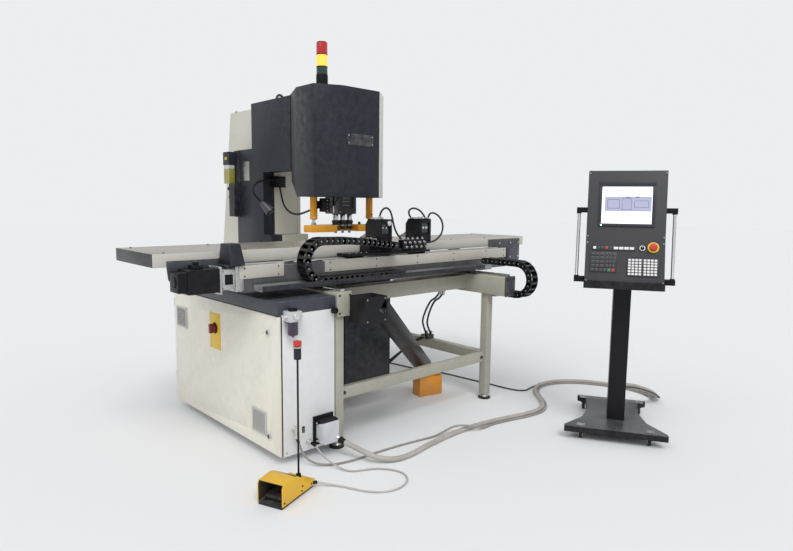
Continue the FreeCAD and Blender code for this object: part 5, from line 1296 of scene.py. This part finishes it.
class PUNCH_OT_table(bpy.types.Operator):
    """Finish the moving table, its brackets and its guide blocks"""
    bl_idname = "punch.table"
    bl_label = "Moving table"

    def execute(self, context):
        top = surface("table_top", coat_group(), {
            "Color": rgba((0.46, 0.43, 0.355)), "Dust": rgba((0.30, 0.28, 0.24)),
            "Under": rgba((0.55, 0.54, 0.5)), "Cloud": 0.16, "Dusting": 0.22, "Wear": 0.3, "Rough": 0.30,
            "Skin size": 300.0}, 0.08, metallic=0.35)
        edge = painted("table_edge", (0.60, 0.58, 0.52), rough=0.36, cloud=0.06, wear=0.2)
        dark = painted("table_end", (0.018, 0.018, 0.020), rough=0.4, wear=0.4)
        # Painted shade: a darker colour for the faces that look down and those inside the table.
        under = painted("table_underside", (0.26, 0.25, 0.22), rough=0.5)

        def part(p, n):
            if n.z > 0.7 and p.z > 1115:
                return 0
            if abs(n.x) > 0.7 and (p.x < -506 or p.x > 2472):
                return 2
            slot_wall = 815.5 > p.x > 808 or 1016.5 > p.x > 1008
            # Faces that look down or lie inside the table take the painted shade.
            in_shade = n.z < -0.5 or inside(p, (-501.5, 300.5, 1045), (2467.5, 796.5, 1109))
            return 3 if in_shade and not slot_wall else 1
        finished("table", [top, edge, dark, under], sizes().sheet_edge, pick=part)
        strip = Shape("table_joint_lines")
        for x in (240, 1560):
            strip.box((x, 295.2, 1115.7), (x + 1.6, 801.8, 1116.15), black_plastic())
        strip.finish("gantry")
        screws = seats(UP, (-440, 0, 360, 700, 1130, 1480, 1640, 2020, 2400), (325, 772), 1116)
        fitted("table_screws", "gantry", screws, 6.5, blackened(), kind="button")
        cast = painted("bracket_paint", (0.050, 0.052, 0.064), rough=0.42, cloud=0.15, wear=0.5)
        finished("table_supports", [cast, blackened()], sizes().weld_edge,
                 pick=lambda p, n: 1 if p.z < 904.9 else 0)
        spots = ((2290, 960), (2390, 960), (2290, 1070), (2390, 1070), (2150, 1070), (-410, 1000),
                 (-360, 1030), (-220, 1030))
        fitted("bracket_bolts", "gantry", [((x, 285, z), FRONT) for x, z in spots], 8, steel())
        return {"FINISHED"}


# ---- Beam ----

class PUNCH_OT_beam(bpy.types.Operator):
    """Finish the beam, its covers, its tray and its drive"""
    bl_idname = "punch.beam"
    bl_label = "Beam and drive"

    def execute(self, context):
        cover = painted("beam_cover_paint", (0.56, 0.535, 0.465), rough=0.34, cloud=0.08, wear=0.3)
        beam = painted("beam_paint", (0.075, 0.075, 0.080), rough=0.4, cloud=0.12)
        tray = metal("tray_sheet", (0.42, 0.42, 0.42), rough=0.38, stretch=(3.0, 200.0, 200.0), stain=0.25)
        finished("x_beam", [beam, bright_steel()], sizes().weld_edge,
                 pick=lambda p, n: 1 if p.z > 1035.1 else 0)
        # Faces of the covers that look down below 978.5 mm take the dark slate as painted shade under the
        # covers; the end piece past 2089.9 mm is slate too.
        finished("beam_covers", [cover, slate()], sizes().sheet_edge,
                 pick=lambda p, n: 1 if p.x > 2089.9 or (p.z < 978.5 and n.z < -0.5) else 0)
        finished("cable_tray", [slate(), tray], 0.0009,
                 pick=lambda p, n: 0 if n.y < -0.5 and p.y < 81 or p.z < 914.9 else 1)
        screws = seats(FRONT, (-90, 110, 450, 800, 1150, 1500, 1850, 2060), 170, (990, 1032))
        fitted("cover_front_screws", "gantry", screws, 4.5, blackened(), kind="button")
        self.drive()
        return {"FINISHED"}

    def drive(self):
        """The motor with its fins and connectors, the coupling housing and the bearing."""
        bright = metal("cast_aluminium", (0.66, 0.66, 0.65), rough=0.42, stretch=(60.0, 60.0, 60.0),
                       stain=0.22, bump=0.3)
        black = black_paint()

        def part(p, n):
            if p.x < -226.05:
                return 0
            return 2 if p.z > 1033.1 and p.x > -190 or p.z > 1049.9 else 1
        finished("x_drive", [black, bright, slate()], 0.005, segments=3, pick=part)
        shape = Shape("drive_details")
        for near, far in ((163.5, 166), (284, 286.5)):
            for z in range(935, 1030, 12):
                shape.box((-385, near, z), (-240, far, z + 3), black)
        shape.box((-350, 195, 1040), (-300, 255, 1062), black)
        shape.rod((-325, 225, 1062), UP, 15, 14, black, edge=2)
        shape.lathe((-435, 225, 981), LEFT, [(28, 0), (28, 3), (26, 5), (0, 5)], black, 36)
        shape.box((-198, 172.4, 955), (-154, 173.2, 1007), black_plastic())
        shape.finish("gantry", edge=0.001)
        ends = seats(LEFT, -226, (173, 277), (915, 1042)) + seats(LEFT, -139, (182, 268), (922, 1038))
        fitted("drive_screws", "gantry", ends, 5.5, steel())
        fitted("housing_screws", "gantry", seats(FRONT, (-207, -146), 173, (936, 1026)), 4.5, steel())


class PUNCH_OT_carriage(bpy.types.Operator):
    """Finish the carriage with its valves, and the two grippers with their hose fittings"""
    bl_idname = "punch.carriage"
    bl_label = "Carriage and grippers"

    def execute(self, context):
        black, silver = black_paint(), aluminium()

        def base(p, n):
            if p.x > 998 and p.y < 192.1 and p.z > 1079.9:
                return 3
            if math.hypot(p.x - 919, p.z - 1245) < 16.5 and p.y < 200.5:
                return 2
            if p.z > 1110.05:
                return 1
            return 3 if p.z > 1109.5 else 0

        def gripper(p, n):
            if p.z < 1132.1 and p.y > 336.1:
                return 1
            return 2 if p.z > 1270.1 else 0
        finished("carriage", [black, silver, silver, black], 0.0012, pick=base)
        finished("grippers", [black, steel(), bright_steel()], 0.003, segments=3, pick=gripper)
        finished("gripper_jaws", [steel()], sizes().machined_edge)
        self.valves()
        screws = seats(UP, (610, 660, 700, 740), (196, 272), 1070)
        screws += seats(UP, (836, 966, 1030, 1110, 1184), (202, 274), 1110)
        screws += seats(BACK, tuple(middle + u for middle in GRIPPERS for u in (-44, 44)), 336, (1228, 1150))
        fitted("carriage_screws", "carriage", screws, 5, steel())
        return {"FINISHED"}

    def valves(self):
        """The fittings of the manifold and of the grippers, and the gauge."""
        shape = Shape("valve_details")

        def fitting(x, y, z, way, length):
            """A bright nut with a steel stub."""
            shape.hex((x, y, z), way, 16 if way == UP else 15, 8, bright_steel())
            shape.rod(Vector((x, y, z)) + 8 * Vector(way), way, 6, length, steel(), edge=1)
        for x in range(999, 1172, 43):
            fitting(x + 12, 150, 1124, FRONT, 8)
            fitting(x + 27, 150, 1096, FRONT, 6)
            if x > 999:
                fitting(x + 19, 171, 1140, UP, 7)
        for foot in ((925, 290, 1279), (1216, 300, 1270), (1284, 235, 1270), (1286, 216, 1270)):
            shape.hex(foot, UP, 19, 9, bright_steel())
        shape.hex((1012, 171, 1140), UP, 19, 8, bright_steel())
        shape.hex((1210, 171, 1114), RIGHT, 19, 8, bright_steel())
        for x in (776, 804):
            shape.rod((x, 230, 1154), UP, 8, 6, steel(), edge=1)
        panel = moulded("gripper_panel", (0.05, 0.05, 0.055))
        for middle in GRIPPERS:
            for x in (middle - 34, middle - 8):
                shape.hex((x, 226, 1270), UP, 17, 8, bright_steel())
                shape.lathe((x, 226, 1278), UP, [(6, 0), (6, 5), (4.5, 8)], steel(), 16)
            shape.box((middle - 30, 207.2, 1180), (middle + 30, 208.6, 1244), panel)
            for x in (middle - 14, middle + 14):
                shape.lathe((x, 208.5, 1212), FRONT, [(9, 0), (9, 3), (7.5, 4), (0, 4)], bright_steel(), 20)
        gauge = moulded("dial_white", (0.7, 0.7, 0.68))
        shape.lathe((919, 186, 1245), FRONT, [(12.5, 0), (12.5, 0.6), (0, 0.6)], gauge, 24)
        shape.finish("carriage", edge=0.0006)


# ---- Energy chains ----

def chain_path(first, turn, rest):
    """A run along a level, half a turn up, and the run that goes back over it."""
    start, middle = Vector(first), Vector(turn)
    out = ((middle - start) * Vector((1, 1, 0))).normalized()
    radius = middle.z - start.z
    points = [start, Vector((middle.x, middle.y, start.z))]
    steps = 18
    for i in range(1, steps + 1):
        angle = -math.pi / 2 + math.pi * i / steps
        points.append(middle + out * radius * math.cos(angle) + Vector((0, 0, radius * math.sin(angle))))
    return points + [Vector(point) for point in rest]


class PUNCH_OT_chains(bpy.types.Operator):
    """Link the two energy chains between the pieces that they join"""
    bl_idname = "punch.chains"
    bl_label = "Energy chains"

    def execute(self, context):
        x_path = chain_path((940, 122.5, 939), (350, 122.5, 1049), [
            (520, 122.5, 1156), (640, 122.5, 1146), (870, 122.5, 1118)])
        y_path = chain_path((1802.5, 60, 756), (1802.5, -160, 863), [(1802.5, 105, 970)])
        self.chain("x_chain", x_path, 77, (0, 1, 0), "gantry", "carriage", 0.962, 1.080)
        self.chain("y_chain", y_path, 75, (1, 0, 0), "machine", "gantry", 0.780, 0.946)
        return {"FINISHED"}

    def link(self, name, wide, material):
        """One link: two side plates with a crossbar over and under."""
        pitch, half, plate, bar = sizes().chain_pitch * 1000, 21, 5, 4
        shape = Shape(name, MILLIMETRES)
        nose = [math.pi * i / 7 for i in range(8)]
        tail = [math.pi * i / 5 for i in range(6)]
        oblong = [(pitch / 2 + half * 0.9 * math.sin(a), -half * math.cos(a)) for a in nose]
        oblong += [(-pitch / 2 - half * 0.2 * math.sin(a), half * math.cos(a)) for a in tail]
        for low in (-wide / 2, wide / 2 - plate):
            shape.plate(oblong, low, low + plate, material, plane="XZ")
        for z in (-half + 1.5, half - 5.5):
            shape.box((-7, -wide / 2 + bar, z), (7, wide / 2 - bar, z + bar), material)
        return loose_part(shape.raw())

    def pin(self, name, wide, material):
        """The pair of pin heads of a link."""
        shape = Shape(name, MILLIMETRES)
        x = sizes().chain_pitch * 1000 / 2 - 2
        for side in (-1, 1):
            shape.lathe((x, side * (wide / 2 - 0.5), 0), (0, side, 0),
                        [(4.2, 0), (4.2, 1.2), (3.4, 1.8), (0, 1.8)], material, 14)
        return loose_part(shape.raw())

    def chain(self, node, path, wide, across, low_body, high_body, low, high):
        """Links of one chain along its path with its half turn; the bodies and levels that it is given are
        not used.
        """
        plastic = moulded("chain_moulding", (0.013, 0.012, 0.011), rough=0.36, dusting=0.12)
        pale = moulded("chain_pin", (0.34, 0.36, 0.46), rough=0.4)
        link, pin = self.link(f"{node}_link", wide, plastic), self.pin(f"{node}_pin", wide, pale)
        source = bpy.data.meshes.new(f"{node}_line")
        steps = [(i, i + 1) for i in range(len(path) - 1)]
        source.from_pydata([machine(*point) for point in path], steps, [])
        data = repeated(f"{node}_links", source, links_tree(), {
            "Link": link, "Pin": pin, "Pitch": sizes().chain_pitch, "Width": across, "Link finish": plastic,
            "Pin finish": pale})
        bpy.data.objects.remove(link)
        bpy.data.objects.remove(pin)
        piece = settle(f"{node}_links", data, None, sharp=35)
        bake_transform(piece)
        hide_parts(node)


# ---- Scrap chute ----

class PUNCH_OT_scrap(bpy.types.Operator):
    """Finish the scrap box with its chute, and the bin under it"""
    bl_idname = "punch.scrap"
    bl_label = "Scrap chute and bin"

    def execute(self, context):
        black = muted(painted("chute_enamel", (0.010, 0.010, 0.011), rough=0.34, dusting=0.05, wear=0.2,
                              cloud=0.15, dust=(0.09, 0.09, 0.085), under=(0.10, 0.10, 0.10)))
        floor = metal("chute_floor", (0.16, 0.16, 0.16), rough=0.34, stretch=(60.0, 60.0, 60.0), stain=0.4)
        orange = painted("bin_paint", (0.78, 0.30, 0.012), rough=0.36, wear=0.7, cloud=0.12, dusting=0.04)
        finished("scrap_chute", [black, floor], 0.0012,
                 pick=lambda p, n: 1 if n.z > 0.5 and inside(p, (449.5, -147, 700), (598, -15, 800)) else 0)
        finished("scrap_bin", [orange, floor], 0.0012)
        fitted("chute_box_screws", "machine", seats(FRONT, (460, 587), -150, (732, 852)), 4.5, steel(),
               kind="button")
        return {"FINISHED"}


# ---- Console ----

def screen_light(name, colour, strength):
    """A lit part of the console's screen."""
    return lit(moulded(name, colour, rough=0.25, dusting=0.0, skin=2000.0, bump=0.02), colour, strength)


class PUNCH_OT_console(bpy.types.Operator):
    """Finish the console: its stand, case, screen, keys, handles and casters"""
    bl_idname = "punch.console"
    bl_label = "Operator console"

    def execute(self, context):
        case = painted("console_powder_coat", (0.040, 0.039, 0.045), rough=0.42, cloud=0.08, wear=0.2,
                       bump=0.2, dusting=0.05, dust=(0.11, 0.11, 0.11))
        column = muted(painted("column_paint", (0.009, 0.008, 0.011), rough=0.42, cloud=0.08, wear=0.15,
                               dusting=0.04, dust=(0.05, 0.05, 0.05)))
        plate = painted("base_plate_paint", (0.050, 0.052, 0.058), rough=0.30, cloud=0.15, dusting=0.35,
                        dust=(0.13, 0.13, 0.12))

        def stand(p, n):
            if p.z < 45.9:
                return 2
            return 1 if p.z < 80.5 and n.z > 0.5 else (3 if p.z < 80.5 or p.z > 900 else 0)

        def body(p, n):
            if abs(p.x) < 210.5:
                return 0
            up_tube = (p.z - 937) / 417
            off = math.hypot(abs(p.x) - 255, p.y + 34 - 62 * up_tube)
            return 2 if off < 10.5 and 955 < p.z < 1335 else 1
        finished("console_stand", [column, plate, steel(), column], 0.0022, pick=stand, space=CONSOLE)
        finished("console_case", [case, black_plastic(), aluminium()], 0.0035, segments=3, pick=body,
                 space=CONSOLE)
        for i in range(1, 5):
            finished(f"caster_wheel_{i}", [black_rubber()], 0.0025, segments=3)
        self.upper()
        self.keys()
        self.trim()
        return {"FINISHED"}

    def upper(self):
        """The screen in its bezel, showing a plain bar, a panel and an outline."""
        bezel = moulded("bezel_moulding", (0.026, 0.026, 0.034), rough=0.42)
        grey = moulded("key_panel", (0.026, 0.026, 0.030), rough=0.45)
        finished("console_panels", [bezel, grey], 0.0014, pick=lambda p, n: 0 if p.z > 1190 else 1,
                 space=CONSOLE)
        white_light = screen_light("screen_white", (0.80, 0.81, 0.98), 0.9)
        lilac_light = screen_light("screen_lilac", (0.40, 0.41, 0.55), 0.22)
        blue_light = screen_light("screen_blue", (0.62, 0.68, 0.95), 0.5)
        dark_light = screen_light("screen_dark", (0.16, 0.16, 0.24), 0.1)
        shape = Shape("screen", SCREEN)
        shape.box((-133.5, -2.6, 60.5), (133.5, -2.05, 271.5), white_light)
        shape.box((-133.5, -2.8, 264), (133.5, -2.5, 271.5), blue_light)
        shape.box((-118, -2.8, 130), (130, -2.5, 214), lilac_light)
        line = 2.2
        for x, z, wide, tall in ((-104, 146, 66, 52), (-26, 140, 52, 64), (40, 152, 76, 40)):
            right, top = x + wide, z + tall
            shape.boxes([((x, -3, z), (right, -2.7, z + line)), ((x, -3, top - line), (right, -2.7, top)),
                         ((x, -3, z), (x + line, -2.7, top)), ((right - line, -3, z), (right, -2.7, top))],
                        dark_light)
        for x in (-6, 44):
            shape.box((x, -3.2, 208), (x + 22, -2.7, 215), dark_light)
        shape.finish("machine", slot="lamp_plastic")
        rows("screen_buttons", "machine", (-112, -2.9, 248), (5, 0.5, 5), dark_light, columns=8, across=29,
             space=SCREEN)
        rows("screen_side_buttons", "machine", (126, -2.9, 118), (8, 0.3, 6), lilac_light, down=4, pitch=14,
             space=SCREEN)
        rows("screen_lines", "machine", (-92, -2.9, 112), (66, 0.3, 1.2), lilac_light, columns=2, down=5,
             across=84, pitch=9, space=SCREEN)
        border = Shape("bezel_frame", SCREEN)
        border.boxes([((-150, -7.5, 44), (150, -4.8, 58)), ((-150, -7.5, 274), (150, -4.8, 302)),
                      ((-150, -7.5, 58), (-136, -4.8, 274)), ((136, -7.5, 58), (150, -4.8, 274))], bezel)
        border.finish("machine", edge=0.0012)
        lamp = Shape("screen_lamp", SCREEN)
        lamp.lathe((-134, -7.4, 50), FRONT, [(5, 0), (5, 0.8), (3.5, 1.6), (0, 1.9)],
                   lamp_plastic("cyan_lamp", (0.45, 0.90, 0.95), glow=1.2), 16)
        lamp.finish("machine")

    def keys(self):
        """Keys in their fields, the emergency stop and the selector."""
        dark = moulded("dark_key", (0.055, 0.055, 0.060), rough=0.42)
        pale = moulded("pale_key", (0.82, 0.81, 0.80), rough=0.38, dusting=0.02)
        red = moulded("red_key", (0.50, 0.03, 0.03), rough=0.38)
        green = moulded("green_key", (0.03, 0.24, 0.08), rough=0.38)
        gap, out, thick = sizes().key_gap * 1000, -5.6, 3.6
        for name, left, top, columns, down, wide, tall, material in (
                ("left_large_keys", -181, -73, 3, 4, 24, 22.5, dark),
                ("left_small_keys", -103, -73, 3, 4, 18, 22.5, dark),
                ("left_bottom_keys", -181, -165, 4, 1, 22, 21, dark),
                ("left_green_keys", -92, -165, 1, 1, 21, 21, green),
                ("left_red_keys", -70, -165, 1, 1, 21, 21, red),
                ("right_inner_keys", 17, -105, 4, 6, 18.5, 16, pale),
                ("right_outer_keys", 98, -105, 4, 6, 18.5, 16, pale),
                ("strip_white_key", -172, -38, 1, 1, 20, 19, pale),
                ("strip_dark_keys", -150, -38, 2, 1, 20, 19, dark),
                ("strip_red_key", -108, -38, 1, 1, 20, 19, red),
                ("strip_pale_keys", -62, -38, 4, 1, 28, 19, pale)):
            rows(name, "machine", (left + wide / 2, out, top - tall / 2), (wide - gap, thick, tall - gap),
                 material, columns=columns, down=down, across=wide, pitch=tall, space=LOWER_FACE,
                 edge=0.0011)
        finished("console_stop", [stop_red()], 0.004, segments=4, space=CONSOLE)
        finished("console_selector", [black_plastic()], 0.0012, space=CONSOLE)
        shape = Shape("stop_surround", LOWER_FACE)
        yellow = moulded("stop_yellow", (0.80, 0.55, 0.02), rough=0.35)
        shape.lathe((148, -7.6, -39), FRONT, [(30, 0), (30, 0.8), (27, 1.4), (20.5, 1.4), (20.5, 0.3),
                                              (8.2, 0.3)], yellow, 48)
        shape.lathe((91, -5.8, -44), FRONT, [(15, 0), (15, 1.2), (13.5, 2.0), (5.2, 2.0)], pale, 36)
        shape.finish("machine", slot="yellow_plastic")
        mark = Shape("selector_mark", LOWER_FACE)
        mark.box((90.2, -22.6, -44), (91.8, -21.9, -36), pale)
        mark.finish("console_selector")

    def trim(self):
        """Screws, the clamps of the handles and the casters' plates."""
        fitted("console_upper_screws", "machine", seats(FRONT, (-202, 202), -5, (20, 380)), 4, steel(),
               kind="button", space=UPPER_FACE)
        fitted("console_lower_screws", "machine", seats(FRONT, (-202, 202), 0, (-238, -16)), 4, steel(),
               kind="button", space=LOWER_FACE)
        shape = Shape("handle_clamps", CONSOLE)
        for x in (-255, 255):
            for y, z in ((-30.1, 957), (24.1, 1322)):
                shape.lathe((x, y, z), (0, 0.143, 1), [(13, 0), (13, 12)], black_plastic(), 28)
        shape.finish("machine", edge=0.001)
        plates = Shape("caster_plates", CONSOLE)
        bolts = []
        for x, y in CASTERS:
            plates.box((x - 24, y - 20, 80), (x + 24, y + 20, 82.5), steel())
            bolts += seats(UP, (x - 16, x + 16), (y - 12, y + 12), 82.5)
        plates.finish("machine", edge=0.0008)
        fitted("caster_bolts", "machine", bolts, 4.5, steel(), kind="hex", space=CONSOLE)


# ---- Foot switch ----

class PUNCH_OT_foot_switch(bpy.types.Operator):
    """Finish the hooded foot switch with its pedal, its pole and its emergency stop"""
    bl_idname = "punch.foot_switch"
    bl_label = "Foot switch"

    def execute(self, context):
        # Painted shade: a dark colour for the faces inside the hood.
        hood_inside_shade = moulded("hood_lining", (0.05, 0.045, 0.03), rough=0.5)
        rod = metal("pole_steel", (0.05, 0.05, 0.052), rough=0.35)
        collar = moulded("stop_collar", (0.52, 0.60, 0.50), rough=0.4)

        def hood(p, n):
            if p.z < 12.05 or (p.z < 22 and inside(p, (0, -60, 0), (200, 60, 22))):
                return 1
            # Faces inside the hood take the painted shade.
            if inside(p, (-1, -65.5, 7), (186.5, 65.5, 113.6)):
                return 2
            return 3 if p.y < -70.5 or (math.hypot(p.x - 226, p.y) < 12.5 and p.z > 40) else 0

        def pole(p, n):
            return 0 if p.z < 631.9 else (1 if p.z < 687.9 else 2)
        finished("foot_switch", [hood_yellow(), black_rubber(), hood_inside_shade, black_plastic()], 0.0035, segments=3,
                 pick=hood, space=FOOT)
        finished("foot_pedal", [black_rubber()], 0.0016, space=FOOT)
        rows("pedal_ribs", "foot_pedal", (36, 0, 40.5), (3, 90, 2.2), black_rubber(), columns=11,
             across=10.0, space=FOOT)
        screws = [((x, way * 70, z), (0, way, 0)) for x, z in ((14, 26), (150, 26), (230, 26), (157, 46))
                  for way in (-1, 1)]
        fitted("hood_screws", "machine", screws, 5, blackened(), space=FOOT, kind="button")
        finished("stop_pole", [rod, slate(), collar], 0.0012, pick=pole, space=FOOT)
        finished("pole_stop", [stop_red()], 0.0008, space=FOOT)
        return {"FINISHED"}


# ---- Stage ----

class PUNCH_OT_stage(bpy.types.Operator):
    """Set up the pale floor, the soft lamps and the camera"""
    bl_idname = "punch.stage"
    bl_label = "Stage"

    def execute(self, context):
        scene = context.scene
        self.floor(scene)
        self.room(scene)
        for name, way, strength, soft in (
                ("Key", (0.35, 0.75, -1.0), 1.25, 30), ("Fill", (0.8, 0.2, -0.9), 0.6, 50)):
            lamp = bpy.data.lights.new(name, "SUN")
            lamp.energy = strength
            lamp.angle = math.radians(soft)
            holder = bpy.data.objects.new(name, lamp)
            holder.rotation_euler = Vector(way).to_track_quat("-Z", "Y").to_euler()
            scene.collection.objects.link(holder)
        self.camera(scene)
        scene.view_settings.view_transform = "Standard"
        return {"FINISHED"}

    def floor(self, scene):
        """A wide pale floor, half a millimetre under the feet."""
        far, low = 40, -0.0005
        data = bpy.data.meshes.new("floor")
        data.from_pydata([(-far, -far, low), (far, -far, low), (far, far, low), (-far, far, low)], [],
                         [(0, 1, 2, 3)])
        data.materials.append(painted("floor_paint", (0.81, 0.812, 0.815), rough=0.9, cloud=0.0, dusting=0.0,
                                      wear=0.0, bump=0.0))
        piece = bpy.data.objects.new("floor", data)
        scene.collection.objects.link(piece)

    def room(self, scene):
        """Plain light from all round, and a pale background for the camera and through glass."""
        world = bpy.data.worlds.new("Pale room")
        scene.world = world
        world.use_nodes = True
        tree = world.node_tree
        light = tree.nodes["Background"]
        light.inputs["Color"].default_value = (0.95, 0.97, 1.0, 1)
        light.inputs["Strength"].default_value = 0.62
        seen = add(tree, "ShaderNodeBackground", {"Color": (0.839, 0.855, 0.871, 1), "Strength": 1.0})
        ray = add(tree, "ShaderNodeLightPath").outputs
        either = maths(tree, "MAXIMUM", ray["Is Camera Ray"], ray["Is Transmission Ray"])
        mix = add(tree, "ShaderNodeMixShader", {0: either, 1: light.outputs[0], 2: seen.outputs[0]})
        tree.links.new(mix.outputs[0], tree.nodes["World Output"].inputs["Surface"])

    def camera(self, scene):
        """The camera that sees the machine as the photograph does."""
        place = Vector((-2.5733, -3.0485, 1.3699))
        yaw, dip, roll = 0.747987, 0.119695, 0.010621
        focal, width, sensor = 600.951, 793, 36.0
        ahead = Vector((math.sin(yaw) * math.cos(dip), math.cos(yaw) * math.cos(dip), -math.sin(dip)))
        right = Vector((math.cos(yaw), -math.sin(yaw), 0))
        up = right.cross(ahead)
        across = math.cos(roll) * right + math.sin(roll) * up
        over = -math.sin(roll) * right + math.cos(roll) * up
        data = bpy.data.cameras.new("Camera")
        data.sensor_width = sensor
        data.lens = focal / width * sensor
        data.clip_end = 200
        camera = bpy.data.objects.new("Camera", data)
        camera.matrix_world = Matrix((
            (across.x, over.x, -ahead.x, place.x), (across.y, over.y, -ahead.y, place.y),
            (across.z, over.z, -ahead.z, place.z), (0, 0, 0, 1)))
        scene.collection.objects.link(camera)
        scene.camera = camera


OPERATORS = (PUNCH_OT_stage, PUNCH_OT_cables, PUNCH_OT_cabinet, PUNCH_OT_base, PUNCH_OT_c_frame,
             PUNCH_OT_head, PUNCH_OT_ram, PUNCH_OT_stripper, PUNCH_OT_signal, PUNCH_OT_lubricator,
             PUNCH_OT_table, PUNCH_OT_beam, PUNCH_OT_carriage, PUNCH_OT_chains, PUNCH_OT_scrap,
             PUNCH_OT_console, PUNCH_OT_foot_switch)


class PUNCH_PT_panel(bpy.types.Panel):
    """The steps that finish the machine"""
    bl_idname = "PUNCH_PT_panel"
    bl_label = "Punching machine"
    bl_space_type = "VIEW_3D"
    bl_region_type = "UI"
    bl_category = "Punching"

    def draw(self, context):
        layout = self.layout
        for group in (context.scene.punch_paints, context.scene.punch_sizes):
            for name in group.__annotations__:
                layout.prop(group, name)
        for operator in OPERATORS:
            layout.operator(operator.bl_idname)


CLASSES = (Paints, Sizes, *OPERATORS, PUNCH_PT_panel)


def register():
    for item in CLASSES:
        bpy.utils.register_class(item)
    bpy.types.Scene.punch_paints = bpy.props.PointerProperty(type=Paints)
    bpy.types.Scene.punch_sizes = bpy.props.PointerProperty(type=Sizes)


def unregister():
    del bpy.types.Scene.punch_sizes
    del bpy.types.Scene.punch_paints
    for item in reversed(CLASSES):
        bpy.utils.unregister_class(item)


def main():
    register()
    for operator in OPERATORS:
        family, step = operator.bl_idname.split(".")
        getattr(getattr(bpy.ops, family), step)()


if __name__ == "__main__":
    main()
